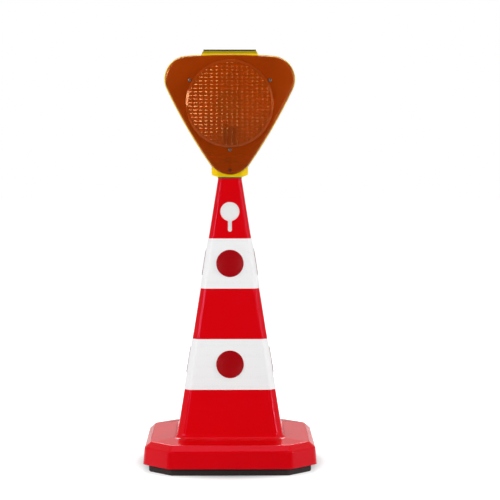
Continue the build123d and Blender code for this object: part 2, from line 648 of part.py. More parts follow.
def lamp_housing():
    """Yellow casing: a triangular ring with lens seats, a bulkhead, the collar and the tray."""
    half = HOUSING_DEPTH / 2
    ring = extrude(lamp_plane * lamp_triangle(0), half, both=True)
    front_and_rear = ring.faces().sort_by(Axis.Y)
    ring = fillet(front_and_rear[0].edges() + front_and_rear[-1].edges(), HOUSING_EDGE)
    cavity = lamp_triangle(HOUSING_WALL)
    seat_opening = lamp_triangle(SEAT_WIDTH)
    ring = ring - extrude(lamp_plane * cavity, half - SEAT_THICKNESS, both=True)
    ring = ring - extrude(lamp_plane * seat_opening, half, both=True)
    inside = extrude(lamp_plane * lamp_triangle(HOUSING_WALL / 2), half, both=True)
    bulkhead = extrude(lamp_plane * cavity, BULKHEAD / 2, both=True)
    bulkhead_bottom = STUB_TOP_Z + BULKHEAD_CLEARANCE
    bulkhead = bulkhead - upright(HOUSING_INRADIUS, COLLAR_BOTTOM_Z, bulkhead_bottom)
    post = Circle(LENS_POST_RADIUS)
    screw_posts = [extrude(lamp_plane * place * post, half, both=True) for place in lens_screw_places()]
    near = BULKHEAD / 2
    led_posts = [front_block(place * board_post(), near, BOARD_FACE) for place in led_post_places()]
    control_posts = [front_block(place * board_post(), near, BOARD_FACE) for place in control_post_places()]
    pad = switch_rod(Circle(SWITCH_PAD_RADIUS), HOUSING_WALL / 2, SWITCH_PAD)
    added = [bulkhead, collar(), solar_tray(), pad & inside] + led_posts
    added += [half_turn * block for block in led_posts + control_posts]
    added += [block & inside for block in screw_posts]
    body = ring + added
    groove = gasket()
    pilot = Circle(LENS_SCREW_RADIUS + LENS_SCREW_FIT)
    pilots = [front_block(place * pilot, half - LENS_SCREW_GRIP, half) for place in lens_screw_places()]
    lock_pilot = Circle(LOCK_SCREW_RADIUS + LENS_SCREW_FIT)
    pilots += [front_block(lock_screw_place() * lock_pilot, half - LOCK_SCREW_GRIP, half)]
    cuts = pilots + [groove]
    cuts += [half_turn * cut for cut in cuts]
    cuts += [upright(JOURNAL_RADIUS + JOURNAL_FIT, COLLAR_BOTTOM_Z, COLLAR_FLOOR_Z)]
    cuts += [switch_rod(Circle(SWITCH_POCKET_RADIUS), -HOUSING_WALL, SWITCH_POCKET)]
    cuts += [switch_rod(Circle(SWITCH_BARREL_RADIUS + SWITCH_BARREL_FIT), 0, SWITCH_BARREL)]
    routes = lead_routes()
    cuts += [route_hole(*routes["solar_lead"][:2])]
    cuts += [route_hole(*routes["battery_lead"][1:3])]
    cuts += [route_hole(*routes["front_led_lead"][1:3])]
    return body - cuts


def dome_sphere(foot_radius):
    """Radius of the sphere that rises by the dome's rise over a foot of that radius."""
    return (foot_radius**2 + DOME_RISE**2) / (2 * DOME_RISE)


def dome_profile(radius, low, drum_top_radius, drum_top):
    """Half outline of a drum with a shallow dome on it, from its axis outwards."""
    dome_top = drum_top + DOME_RISE
    dome_radius = dome_sphere(drum_top_radius)
    half_angle = asin(drum_top_radius / dome_radius) / 2
    middle = (dome_radius * sin(half_angle), dome_top - dome_radius * (1 - cos(half_angle)))
    outline = [
        Line((0, dome_top), (0, low)),
        Line((0, low), (radius, low)),
        Line((radius, low), (drum_top_radius, drum_top)),
        ThreePointArc((drum_top_radius, drum_top), middle, (0, dome_top)),
    ]
    return make_face(outline)


def prism_grooves():
    """Level grooves that follow the dome and part it into rows of prisms."""
    dome_top = LENS_FACE + DRUM_HEIGHT + DOME_RISE
    radius = dome_sphere(DRUM_TOP_RADIUS)
    centre = Vector(0, radius - dome_top, LAMP_Z)
    half_angle = degrees(asin(DRUM_TOP_RADIUS / radius))
    start = Vector(0, -1, 0).rotate(Axis.Z, -half_angle)
    plane = Plane(centre, x_dir=start, z_dir=start.cross(Vector(0, 0, 1)))
    field = front_block(Circle(PRISM_FIELD_RADIUS), LENS_FACE, dome_top + LENS_WALL)
    grooves = []
    pairs = round(PRISM_FIELD_RADIUS / PRISM_PITCH)
    for step in range(-pairs, pairs):
        height = (step + 0.5) * PRISM_PITCH
        out = sqrt(radius**2 - height**2)
        groove = Polygon(
            (out + PRISM_GROOVE_DEPTH, height - PRISM_GROOVE_WIDTH),
            (out + PRISM_GROOVE_DEPTH, height + PRISM_GROOVE_WIDTH),
            (out - PRISM_GROOVE_DEPTH, height),
            align=None,
        )
        grooves += [revolve(plane * groove, Axis(centre, (0, 0, 1)), 2 * half_angle) & field]
    return grooves


def lens():
    """Amber front lens: a triangular tray with a raised drum and a shallow dome."""
    seat = HOUSING_DEPTH / 2
    tray = front_block(lamp_triangle(LENS_RIM), seat, LENS_FACE)
    tray = fillet(tray.faces().sort_by(Axis.Y)[0].edges(), LENS_EDGE)
    drum_top = LENS_FACE + DRUM_HEIGHT
    drum = dome_profile(DRUM_BASE_RADIUS, seat, DRUM_TOP_RADIUS, drum_top)
    drum = fillet(drum.vertices().sort_by_distance((DRUM_TOP_RADIUS, drum_top))[0], DRUM_EDGE)
    inner_drum = dome_profile(
        DRUM_BASE_RADIUS - LENS_WALL, seat, DRUM_TOP_RADIUS - LENS_WALL, drum_top - LENS_WALL
    )
    axis = Axis((0, 0, LAMP_Z), (0, -1, 0))
    outside = tray + revolve(turn_profile_plane * drum, axis)
    hollow = front_block(lamp_triangle(LENS_RIM + LENS_WALL), seat, LENS_FACE - LENS_WALL)
    shell = outside - [hollow, revolve(turn_profile_plane * inner_drum, axis)]
    post_top = LENS_FACE - LENS_WALL / 2
    posts = [front_block(place * Circle(LENS_POST_RADIUS), seat, post_top) for place in lens_screw_places()]
    posts += [front_block(lock_screw_place() * Circle(LOCK_POST_RADIUS), seat, post_top)]
    holes = [
        front_block(place * Circle(LENS_SCREW_RADIUS + LENS_SCREW_FIT), seat, LENS_FACE)
        for place in lens_screw_places()
    ]
    holes += [front_block(lock_screw_place() * Circle(LOCK_SCREW_RADIUS + LENS_SCREW_FIT), seat, LENS_FACE)]
    sink = LENS_FACE - LENS_SCREW_SINK
    holes += [
        front_block(place * Circle(LENS_SCREW_HEAD_RADIUS + LENS_SCREW_SINK_FIT), sink, LENS_FACE)
        for place in lens_screw_places()
    ]
    lock_sink = Circle(LOCK_SCREW_HEAD_RADIUS + LENS_SCREW_SINK_FIT)
    holes += [front_block(lock_screw_place() * lock_sink, sink, LENS_FACE)]
    return shell + posts - holes - prism_grooves()


def panhead_screw(place, radius, grip, head_radius, head, seat, under):
    """Pan-head screw on the lamp's own plane, its head on seat and its tip grip behind under."""
    shank = front_block(place * Circle(radius), under - grip, seat)
    cap = front_block(place * Circle(head_radius), seat, seat + head)
    cap = fillet(cap.edges().sort_by(Axis.Y)[0], head * SCREW_HEAD_EASE)
    return shank + cap


def lens_screws():
    """Three screws that hold the front lens."""
    return Compound(
        [
            panhead_screw(
                place, LENS_SCREW_RADIUS, LENS_SCREW_GRIP, LENS_SCREW_HEAD_RADIUS, LENS_SCREW_HEAD,
                LENS_FACE - LENS_SCREW_SINK, HOUSING_DEPTH / 2,
            )
            for place in lens_screw_places()
        ]
    )


def lens_lock_screws():
    """One dark lock screw near the lower corner of each lens."""
    screw = panhead_screw(
        lock_screw_place(), LOCK_SCREW_RADIUS, LOCK_SCREW_GRIP, LOCK_SCREW_HEAD_RADIUS, LENS_SCREW_SINK,
        LENS_FACE - LENS_SCREW_SINK, HOUSING_DEPTH / 2,
    )
    return Compound([screw, half_turn * screw])


def solar_seal():
    """Frame-shaped seal between the tray and the panel."""
    width = PANEL_WIDTH - 2 * SEAL_MARGIN
    depth = PANEL_DEPTH - 2 * SEAL_MARGIN
    frame = Rectangle(width, depth) - Rectangle(width - 2 * SEAL_WIDTH, depth - 2 * SEAL_WIDTH)
    return Pos(0, 0, TRAY_TOP_Z) * extrude(frame, SEAL_THICKNESS)


def solar_panel():
    """Laminated panel on its seal, with eased edges."""
    bottom = TRAY_TOP_Z + SEAL_THICKNESS
    plate = Pos(0, 0, bottom) * extrude(Rectangle(PANEL_WIDTH, PANEL_DEPTH), PANEL_THICKNESS)
    return chamfer(level_edges(plate, bottom + PANEL_THICKNESS, 0), PANEL_EDGE)


def led_board():
    """Round light board on its three posts, in front of the bulkhead."""
    disc = Circle(LED_BOARD_RADIUS)
    disc = disc - [place * Circle(BOARD_SCREW_RADIUS + BOARD_SCREW_FIT) for place in led_post_places()]
    return front_block(disc, BOARD_FACE, BOARD_FACE + BOARD_THICKNESS)


def led():
    """One domed light-emitting diode with a flange, on the lamp's axis."""
    foot = BOARD_FACE + BOARD_THICKNESS
    flange = front_block(Circle(LED_RADIUS + LED_FLANGE), foot, foot + LED_FLANGE)
    barrel = front_block(Circle(LED_RADIUS), foot, foot + LED_HEIGHT)
    tip = Pos(0, -foot - LED_HEIGHT, LAMP_Z) * Sphere(LED_RADIUS)
    return flange + barrel + tip


def leds():
    """Ring of diodes with one in the middle."""
    diode = led()
    spots = [place.position for place in PolarLocations(LED_CIRCLE, LED_COUNT)]
    ring = [Pos(spot.X, 0, spot.Y) * diode for spot in spots]
    return Compound([diode] + ring)


def board_screws():
    """Small screws of the two light boards and the control board."""
    seat = BOARD_FACE + BOARD_THICKNESS
    led_screws = [
        panhead_screw(
            place, BOARD_SCREW_RADIUS, BOARD_SCREW_GRIP, BOARD_SCREW_HEAD_RADIUS, BOARD_SCREW_HEAD,
            seat, BOARD_FACE,
        )
        for place in led_post_places()
    ]
    control_screws = [
        panhead_screw(
            place, BOARD_SCREW_RADIUS, BOARD_SCREW_GRIP, BOARD_SCREW_HEAD_RADIUS, BOARD_SCREW_HEAD,
            seat, BOARD_FACE,
        )
        for place in control_post_places()
    ]
    return Compound(led_screws + [half_turn * screw for screw in led_screws + control_screws])


def cell_places():
    """Places of the cells from left to right."""
    middle = (CELL_COUNT - 1) / 2
    return [(number - middle) * CELL_PITCH for number in range(CELL_COUNT)]


def battery_holder():
    """Open tray that holds the upright cells on the front of the bulkhead."""
    height = CELL_LENGTH + CELL_TIP + 2 * CELL_FIT + 2 * HOLDER_WALL
    width = 2 * HOLDER_HALF_WIDTH
    back = BULKHEAD / 2
    front = back + HOLDER_WALL + CELL_RADIUS * (1 + HOLDER_LIP)
    middle = Pos(0, HOLDER_BOTTOM_Z + height / 2 - LAMP_Z)
    block = front_block(middle * Rectangle(width, height), back, front)
    opening = middle * Rectangle(width - 2 * HOLDER_WALL, height - 2 * HOLDER_WALL)
    return block - front_block(opening, back + HOLDER_WALL, front)


def battery_cells():
    """Rechargeable cells with raised tips, every other one turned end for end."""
    low = HOLDER_BOTTOM_Z + HOLDER_WALL + CELL_FIT
    front = BULKHEAD / 2 + HOLDER_WALL + CELL_FIT + CELL_RADIUS
    upward = upright(CELL_RADIUS, low, low + CELL_LENGTH)
    upward = upward + upright(CELL_TIP_RADIUS, low + CELL_LENGTH, low + CELL_LENGTH + CELL_TIP)
    downward = upright(CELL_RADIUS, low + CELL_TIP, low + CELL_TIP + CELL_LENGTH)
    downward = downward + upright(CELL_TIP_RADIUS, low, low + CELL_TIP)
    turned = (upward, downward)
    return Compound([Pos(x, -front, 0) * turned[number % 2] for number, x in enumerate(cell_places())])


def control_board():
    """Charge and flasher board on the rear of the bulkhead."""
    plate = Pos(0, control_middle()) * Rectangle(CONTROL_WIDTH, CONTROL_HEIGHT)
    plate = plate - [place * Circle(BOARD_SCREW_RADIUS + BOARD_SCREW_FIT) for place in control_post_places()]
    return half_turn * front_block(plate, BOARD_FACE, BOARD_FACE + BOARD_THICKNESS)


def control_block(x, rise, outline, height):
    """Part on the control board: x to the right seen from the front, rise above its middle."""
    foot = BOARD_FACE + BOARD_THICKNESS
    return half_turn * front_block(Pos(-x, control_middle() + rise) * outline, foot, foot + height)


def top_socket_rise():
    """Height of the lead sockets along the control board's top edge, above its middle."""
    return CONTROL_HEIGHT / 2 - TOP_SOCKET_DROP


def control_parts():
    """Lead sockets, chip, coil and capacitor on the control board."""
    block = Rectangle(SOCKET_BLOCK, SOCKET_BLOCK)
    top_sockets = (SOLAR_SOCKET_X, REAR_LED_SOCKET_X, FRONT_LED_SOCKET_X)
    parts = [control_block(x, top_socket_rise(), block, SOCKET_BLOCK_HEIGHT) for x in top_sockets]
    side_sockets = (SIDE_SOCKET_RISE, -SIDE_SOCKET_RISE)
    parts += [control_block(SIDE_SOCKET_X, rise, block, SOCKET_BLOCK_HEIGHT) for rise in side_sockets]
    parts += [control_block(0, 0, Rectangle(CHIP_SIZE, CHIP_SIZE), CHIP_HEIGHT)]
    parts += [control_block(*COIL_PLACE, Circle(COIL_RADIUS), COIL_HEIGHT)]
    parts += [control_block(*CAPACITOR_PLACE, Circle(CAPACITOR_RADIUS), CAPACITOR_HEIGHT)]
    return Compound(parts)


def switch_body():
    """Bezel and barrel of the push switch, bored for its button."""
    bezel_face = SWITCH_POCKET - SWITCH_BEZEL
    bezel = switch_rod(Circle(SWITCH_BEZEL_RADIUS), bezel_face, SWITCH_POCKET)
    barrel = switch_rod(Circle(SWITCH_BARREL_RADIUS), SWITCH_POCKET, SWITCH_BARREL)
    bore_floor = bezel_face - BUTTON_PROUD + BUTTON_LENGTH + BUTTON_TRAVEL + BUTTON_FIT
    bore = switch_rod(Circle(BUTTON_RADIUS + BUTTON_FIT), bezel_face, bore_floor)
    return bezel + barrel - bore


def switch_nut():
    """Hexagon nut that holds the switch from inside the housing."""
    hexagon = RegularPolygon(SWITCH_NUT_FLATS / 2, 6, major_radius=False)
    ring = hexagon - Circle(SWITCH_BARREL_RADIUS + SWITCH_BARREL_FIT)
    return switch_rod(ring, SWITCH_PAD, SWITCH_PAD + SWITCH_NUT)


def switch_button():
    """Round push button with an eased edge."""
    tip = SWITCH_POCKET - SWITCH_BEZEL - BUTTON_PROUD
    button = switch_rod(Circle(BUTTON_RADIUS), tip, tip + BUTTON_LENGTH)
    return fillet(button.edges().sort_by(Axis.X)[-1], BUTTON_EDGE)


def lead_routes():
    """Points that each inner lead passes, from its source to its socket."""
    board_z = LAMP_Z + control_middle()
    socket_y = BOARD_FACE + BOARD_THICKNESS + SOCKET_BLOCK_HEIGHT / 2
    socket_top = board_z + top_socket_rise() + SOCKET_BLOCK / 2 + LEAD_GAP
    socket_side = SIDE_SOCKET_X + SOCKET_BLOCK / 2 + LEAD_GAP
    over_board = BOARD_FACE + BOARD_THICKNESS + LEAD_RADIUS + LEAD_GAP
    crossing_z = socket_top + LEAD_CROSSING_RISE
    panel_z = TRAY_TOP_Z + SEAL_THICKNESS - LEAD_GAP
    bend_z = LAMP_Z - SOLAR_LEAD_BEND_DROP
    battery_z = board_z + SIDE_SOCKET_RISE
    holder_side = HOLDER_HALF_WIDTH + LEAD_GAP
    holder_y = -BULKHEAD / 2 - HOLDER_WALL - CELL_RADIUS / 2
    switch_z = board_z - SIDE_SOCKET_RISE
    switch_end = switch_plane(SWITCH_BARREL + LEAD_GAP).origin
    switch_bend = switch_plane(SWITCH_BARREL + SWITCH_LEAD_RUN).origin
    return {
        "solar_lead": [
            (SOLAR_LEAD_X, SOLAR_LEAD_Y, panel_z),
            (SOLAR_LEAD_X, SOLAR_LEAD_Y, bend_z),
            (SOLAR_SOCKET_X, socket_y, crossing_z + LEAD_CROSSING_RISE),
            (SOLAR_SOCKET_X, socket_y, socket_top),
        ],
        "rear_led_lead": [
            (REAR_LED_SOCKET_X, over_board, LAMP_Z - REAR_LED_LEAD_DROP),
            (REAR_LED_SOCKET_X, over_board, socket_top),
        ],
        "front_led_lead": [
            (FRONT_LED_SOCKET_X, -over_board, LAMP_Z - FRONT_LED_LEAD_DROP),
            (FRONT_LED_SOCKET_X, -over_board, crossing_z),
            (FRONT_LED_SOCKET_X, socket_y, crossing_z),
            (FRONT_LED_SOCKET_X, socket_y, socket_top),
        ],
        "battery_lead": [
            (holder_side, holder_y, battery_z + BATTERY_LEAD_RISE),
            (BATTERY_LEAD_X, holder_y, battery_z + BATTERY_LEAD_RISE),
            (BATTERY_LEAD_X, socket_y, battery_z),
            (socket_side, socket_y, battery_z),
        ],
        "switch_lead": [
            tuple(switch_end),
            tuple(switch_bend),
            (SWITCH_LEAD_X, socket_y, switch_z),
            (socket_side, socket_y, switch_z),
        ],
    }


def lead(points):
    """Round lead along straight runs joined by arcs as large as the shorter run allows."""
    places = [Vector(*point) for point in points]
    runs = [end - start for start, end in zip(places, places[1:])]
    if len(runs) == 1:
        path = Line(*points)
    else:
        radii = [
            LEAD_BEND_SHARE * min(before.length, after.length) / tan(radians(before.get_angle(after) / 2))
            for before, after in zip(runs, runs[1:])
        ]
        path = FilletPolyline(*points, radius=radii)
    return sweep(Plane(places[0], z_dir=runs[0]) * Circle(LEAD_RADIUS), path=path)


def build_nodes():
    """Every piece of the object, by the name of its node."""
    nodes = {
        "cone_shell": cone_shell(),
        "lamp_socket": lamp_socket(),
        "upper_band": band(UPPER_BAND_Z),
        "lower_band": band(LOWER_BAND_Z),
        "reflector_push_nuts": reflector_push_nuts(),
        "ballast_foot": ballast_foot(),
        "foot_screws": foot_screws(),
        "spigot": spigot(),
        "swivel_washer": swivel_washer(),
        "swivel_nut": swivel_nut(),
        "lamp_housing": lamp_housing(),
        "lens_lock_screws": lens_lock_screws(),
        "solar_seal": solar_seal(),
        "solar_panel": solar_panel(),
        "board_screws": board_screws(),
        "battery_holder": battery_holder(),
        "battery_cells": battery_cells(),
        "control_board": control_board(),
        "control_parts": control_parts(),
        "switch_body": switch_body(),
        "switch_nut": switch_nut(),
        "switch_button": switch_button(),
    }
    for name, points in lead_routes().items():
        nodes[name] = lead(points)
    for level, z in reflector_heights().items():
        disc = reflector(z)
        for side, angle in FACE_ANGLES.items():
            nodes[f"{level}_reflector_{side}"] = Rot(0, 0, angle) * disc
    two_sided = {
        "lens": lens(),
        "gasket": gasket(),
        "lens_screws": lens_screws(),
        "led_board": led_board(),
        "leds": leds(),
    }
    for name, piece in two_sided.items():
        nodes[f"front_{name}"] = piece
        nodes[f"rear_{name}"] = half_turn * piece
    return nodes


os.makedirs("parts", exist_ok=True)
for name, piece in build_nodes().items():
    export_step(piece, f"parts/{name}.step")
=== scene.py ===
from math import asin, atan, cos, hypot, pi, radians, sin, sqrt

import bmesh
import bpy
from mathutils import Matrix, Vector


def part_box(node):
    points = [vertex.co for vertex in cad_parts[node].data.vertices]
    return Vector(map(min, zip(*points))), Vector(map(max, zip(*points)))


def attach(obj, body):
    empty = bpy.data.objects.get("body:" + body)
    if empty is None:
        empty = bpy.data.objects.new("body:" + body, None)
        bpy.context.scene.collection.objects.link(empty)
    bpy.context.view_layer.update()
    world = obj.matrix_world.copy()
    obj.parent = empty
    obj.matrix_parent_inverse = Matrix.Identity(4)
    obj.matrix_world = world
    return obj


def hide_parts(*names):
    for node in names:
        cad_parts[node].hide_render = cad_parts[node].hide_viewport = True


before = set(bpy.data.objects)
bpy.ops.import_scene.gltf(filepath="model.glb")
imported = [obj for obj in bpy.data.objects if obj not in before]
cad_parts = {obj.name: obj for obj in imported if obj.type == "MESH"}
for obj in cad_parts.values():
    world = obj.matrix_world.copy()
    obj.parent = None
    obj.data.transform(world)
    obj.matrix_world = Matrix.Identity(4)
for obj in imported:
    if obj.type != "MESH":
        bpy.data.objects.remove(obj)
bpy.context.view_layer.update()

# Looks of a square traffic cone with a solar warning light. Metres, +Z up, front towards -Y.

# Closeness of places, how nearly a face has to look along an axis, and where the front side ends
SAME_PLACE = 1e-5
FACING = 0.999
FRONT_SIDE = -0.5

# Camera, set from the photograph's view
CAMERA_DISTANCE = 4.5
CAMERA_HEIGHT = 0.8574
CAMERA_PITCH = 0.06502
CAMERA_YAW = 0.01186
CAMERA_LENS_MM = 122.24
CAMERA_SENSOR_MM = 36

# Lenses: a rounded triangle with a raised round drum, bevelled round a domed field of prisms
LENS_LOW, LENS_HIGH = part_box("front_lens")
LENS_INRADIUS = 0.1272
LENS_CORNER = 0.0594
LENS_SIDE_RADIUS = 1.3974
LENS_EDGE = 0.0045
LENS_WALL = 0.003
LENS_DEPTH = 0.009
LAMP_Z = LENS_HIGH[2] - LENS_INRADIUS
LENS_BACK = LENS_HIGH[1]
LENS_FACE = LENS_BACK - LENS_DEPTH
DRUM_FOOT_RADIUS = 0.1165
DRUM_TOP_RADIUS = 0.1135
DRUM_LAND_RADIUS = 0.1085
DRUM_HEIGHT = 0.007
DRUM_EDGE = 0.0045
DRUM_TOP = LENS_FACE - DRUM_HEIGHT
FIELD_RADIUS = 0.108
DOME_RISE = 0.0104
DOME_RADIUS = 0.112
PILLOW_WIDTH = 0.0146
PILLOW_HEIGHT = 0.0099
PILLOW_RISE = 0.00115
PILLOW_SQUEEZE = 0.91
PILLOW_COLUMNS = 15
PILLOW_ROWS = 23
PILLOW_STEPS = (8, 6)
SLAB_DEPTH = 0.012
DISC_CUTTER_DEPTH = 6 * SLAB_DEPTH
CORNER_TURNS = (30, 150, 270)
ROUND_STEPS = 96
SIDE_STEPS = 12
SIDE_MERGE = radians(0.2)
DRUM_STEPS = 192
BEVEL_STEPS = 8
SMOOTH_LIMIT = radians(13)
SCREW_SMOOTH = radians(30)
HALF_TURN = Matrix.Rotation(pi, 4, "Z")

# Painted shade in the lenses, where the battery holder stands behind them
SHADE_LOW, SHADE_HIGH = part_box("battery_holder")
SHADE_BLUR = 0.012

# Screws in the lenses
LENS_SCREW_CIRCLE = 0.1215
LENS_SCREW_HEAD_RADIUS = 0.0042
LENS_SCREW_HEAD = 0.0026
LENS_SCREW_RADIUS = 0.0019
LENS_SCREW_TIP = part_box("front_lens_screws")[1][1]
LENS_SINK_RADIUS = 0.0046
LENS_SINK = 0.0013
LOCK_SCREW_DROP = 0.1745
LOCK_SCREW_HEAD_RADIUS = 0.0030
LOCK_SCREW_HEAD = 0.0012
LOCK_SCREW_RADIUS = 0.0015
LOCK_SCREW_REACH = 0.004
LOCK_SCREW_TIP = LENS_BACK + LOCK_SCREW_REACH
LOCK_SINK_RADIUS = 0.0038
LOCK_SINK = 0.0024
SCREW_STEPS = 48
SCREW_EASE = 0.45
CROSS_LENGTH = 1.25
CROSS_WIDTH = 0.30
CROSS_DEPTH = 0.45
CROSS_TAPER = 0.6

# Reflectors: round dishes on the white bands, which lean in with the cone's faces
UPPER_BAND_LOW, UPPER_BAND_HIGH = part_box("upper_band")
LOWER_BAND_LOW, LOWER_BAND_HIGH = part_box("lower_band")
FACE_LEAN = LOWER_BAND_HIGH[0] - UPPER_BAND_HIGH[0]
FACE_TILT = atan(FACE_LEAN / (UPPER_BAND_LOW[2] - LOWER_BAND_LOW[2]))
FACE_OUT = Vector((0, -cos(FACE_TILT), sin(FACE_TILT)))
REFLECTOR_RADIUS = 0.036
REFLECTOR_THICKNESS = 0.0022
REFLECTOR_EDGE = 0.0009
REFLECTOR_RIM = 0.0014
REFLECTOR_DISH = 0.0003
REFLECTOR_STUD = 0.0081
REFLECTOR_STUD_RADIUS = 0.004
REFLECTOR_STEPS = 96
REFLECTOR_RED = 0.3
FACE_TURNS = {"front": 0, "right": 90, "rear": 180, "left": 270}

# Solar panel: a framed laminate with two rows of cells, on the casing's tray
PANEL_LOW, PANEL_HIGH = (Vector(corner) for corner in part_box("solar_panel"))
# Height where painted shade starts on the casing's tray under the panel, and how softly it starts
TRAY_RISE = 0.1302
TRAY_SHADE_FOOT = LAMP_Z + TRAY_RISE
TRAY_SHADE_FADE = 0.001
PANEL_EDGE = 0.0006
PANEL_FRAME = 0.0030
PANEL_SINK = 0.0004
PANEL_COLUMNS = 6
PANEL_ROWS = 2
PANEL_GAP = 0.0005
PANEL_CELL = 0.0002
PANEL_BED = PANEL_HIGH.z - PANEL_SINK

# Studio lamps
STUDIO_AIM = Vector((0, 0, 0.55))
STUDIO_LAMPS = {
    "key_lamp": {"place": (1.0, -3.8, 1.75), "size": (0.5, 0.5), "watts": 8},
    "fill_lamp": {"place": (0.85, -3.8, 0.70), "size": (0.4, 0.4), "watts": 4},
    "top_lamp": {"place": (0.0, 0.2, 3.5), "size": (2.4, 2.0), "watts": 20},
    "left_lamp": {"place": (-1.7, -3.7, 1.65), "size": (1.6, 0.75), "watts": 56},
    "edge_lamp": {"place": (-2.7, -1.4, 1.35), "size": (0.8, 1.0), "watts": 34},
    "right_lamp": {"place": (3.4, -0.9, 1.3), "size": (0.6, 2.0), "watts": 68},
    "back_lamp": {"place": (0.0, 2.8, 2.4), "size": (2.4, 1.4), "watts": 100},
}

# Studio room: its light, and how dark it is mirrored in front, behind and low down
WORLD_LEVEL = 0.16
ROOM_DARK = -0.45
ROOM_PALE = -0.05
ROOM_LEAST = 0.05
ROOM_SIDE = 0.2
ROOM_REAR = 0.9
ROOM_REAR_LEVEL = 0.6
ROOM_RISE = 0.14
ROOM_LOW_LEVEL = 0.3

# Studio floor: its shadow under the object, a painted contact shadow where its glow fades near the
# object, and where it is mirrored darker in front and far behind
FLOOR_SIZE = 40.0
FLOOR_ROUGHNESS = 0.9
FLOOR_TONE = 0.45
FLOOR_SHADOW_GLOW = 0.1
FLOOR_SHADOW_NEAR = 0.20
FLOOR_SHADOW_FAR = 0.30
FLOOR_DARK_Y = -0.9
FLOOR_PALE_Y = -0.05
FLOOR_REAR_Y = 1.0
FLOOR_END_Y = 4.0

# Usual range of the soft random values
NOISE_LOW = 0.3
NOISE_HIGH = 0.7


class Nodes:
    """A node tree, filled node by node."""

    def __init__(self, tree):
        self.tree = tree

    def add(self, kind, inputs=None, **settings):
        """A new node with its settings and its unlinked inputs."""
        node = self.tree.nodes.new(kind)
        for key, value in settings.items():
            setattr(node, key, value)
        for key, value in (inputs or {}).items():
            self.put(node.inputs[key], value)
        return node

    def put(self, socket, value):
        """Gives a socket a value, or links another node's output to it."""
        if isinstance(value, bpy.types.NodeSocket):
            self.tree.links.new(value, socket)
        elif isinstance(value, (tuple, list)) and socket.type == "RGBA" and len(value) == 3:
            socket.default_value = (*value, 1)
        else:
            socket.default_value = value

    def span(self, value, low, high, to_low=0.0, to_high=1.0):
        """Value carried from one range to another."""
        inputs = {
            "Value": value, "From Min": low, "From Max": high, "To Min": to_low, "To Max": to_high,
        }
        return self.add("ShaderNodeMapRange", inputs).outputs["Result"]

    def between(self, share, first, second):
        """Value between two values."""
        return self.add("ShaderNodeMix", {0: share, 2: first, 3: second}).outputs[0]

    def math(self, operation, first, second=0.0):
        """Sum, product or other operation on two values."""
        return self.add("ShaderNodeMath", {0: first, 1: second}, operation=operation).outputs[0]


class Finish(Nodes):
    """A procedural material on Object coordinates."""

    def __init__(self, name):
        self.material = bpy.data.materials.new(name)
        self.material.use_nodes = True
        super().__init__(self.material.node_tree)
        self.shader = next(node for node in self.tree.nodes if node.type == "BSDF_PRINCIPLED")
        self.place = self.add("ShaderNodeTexCoord").outputs["Object"]

    def base(self, **values):
        """Sets sockets of the main shader, by name with underscores for spaces."""
        for key, value in values.items():
            self.put(self.shader.inputs[key.replace("_", " ")], value)

    def along(self, axis):
        """Object coordinate along X, Y or Z."""
        return self.add("ShaderNodeSeparateXYZ", {0: self.place}).outputs[axis]

    def stretched(self, scale):
        """Object coordinates scaled along each axis."""
        inputs = {"Vector": self.place, "Scale": scale}
        return self.add("ShaderNodeMapping", inputs).outputs["Vector"]

    def noise(self, scale, detail=4.0, roughness=0.55, place=None):
        """Soft random value, scale features to the metre."""
        inputs = {
            "Vector": place or self.place, "Scale": scale, "Detail": detail, "Roughness": roughness,
        }
        return self.add("ShaderNodeTexNoise", inputs).outputs["Fac"]

    def spread(self, noise, to_low=0.0, to_high=1.0):
        """Usual range of a soft random value carried to another range."""
        return self.span(noise, NOISE_LOW, NOISE_HIGH, to_low, to_high)

    def cells(self, scale, feature="DISTANCE_TO_EDGE", randomness=1.0):
        """Distance in a pattern of cells, scale cells to the metre."""
        inputs = {"Vector": self.place, "Scale": scale, "Randomness": randomness}
        return self.add("ShaderNodeTexVoronoi", inputs, feature=feature).outputs["Distance"]

    def blend(self, share, first, second):
        """Colour between two colours."""
        inputs = {0: share, 6: first, 7: second}
        return self.add("ShaderNodeMix", inputs, data_type="RGBA").outputs[2]

    def relief(self, height, strength, distance):
        """Fine relief of the surface from a height value."""
        inputs = {"Height": height, "Strength": strength, "Distance": distance}
        self.base(Normal=self.add("ShaderNodeBump", inputs).outputs["Normal"])


def moulded_plastic(name, colour, deeper, roughness, grain=1400.0, grain_strength=0.06):
    """Moulded plastic: faint flow mottling, fine grain and slightly uneven gloss."""
    finish = Finish(name)
    flow = finish.noise(5.0, detail=2.0)
    fine = finish.noise(grain, detail=2.0)
    haze = finish.noise(22.0, detail=3.0)
    finish.base(Base_Color=finish.blend(finish.spread(flow), colour, deeper))
    finish.base(Roughness=finish.spread(haze, roughness - 0.02, roughness + 0.03))
    finish.relief(fine, strength=grain_strength, distance=0.0002)
    return finish


def red_plastic():
    """Glossy red polyethylene of the cone."""
    finish = moulded_plastic(
        "red_moulding", (0.72, 0.001, 0.004), (0.68, 0.001, 0.003), roughness=0.15, grain_strength=0.02,
    )
    finish.base(Specular_IOR_Level=0.16, Specular_Tint=(1.0, 0.38, 0.80))
    return finish


def white_plastic():
    """White polyethylene of the lamp socket."""
    return moulded_plastic("white_moulding", (0.86, 0.86, 0.85), (0.81, 0.81, 0.80), roughness=0.42)


def yellow_plastic():
    """Yellow casing of the lamp, with painted olive shade on the tray under the panel."""
    finish = moulded_plastic(
        "yellow_moulding", (0.95, 0.66, 0.004), (0.90, 0.60, 0.003), roughness=0.20,
    )
    finish.base(Specular_IOR_Level=0.25, Specular_Tint=(1.0, 0.85, 0.35))
    # Painted shade: the casing turns olive above the tray's foot, under the panel
    casing = finish.shader.inputs["Base Color"].links[0].from_socket
    up = finish.span(finish.along("Z"), TRAY_SHADE_FOOT, TRAY_SHADE_FOOT + TRAY_SHADE_FADE)
    finish.base(Base_Color=finish.blend(up, casing, (0.42, 0.32, 0.006)))
    return finish


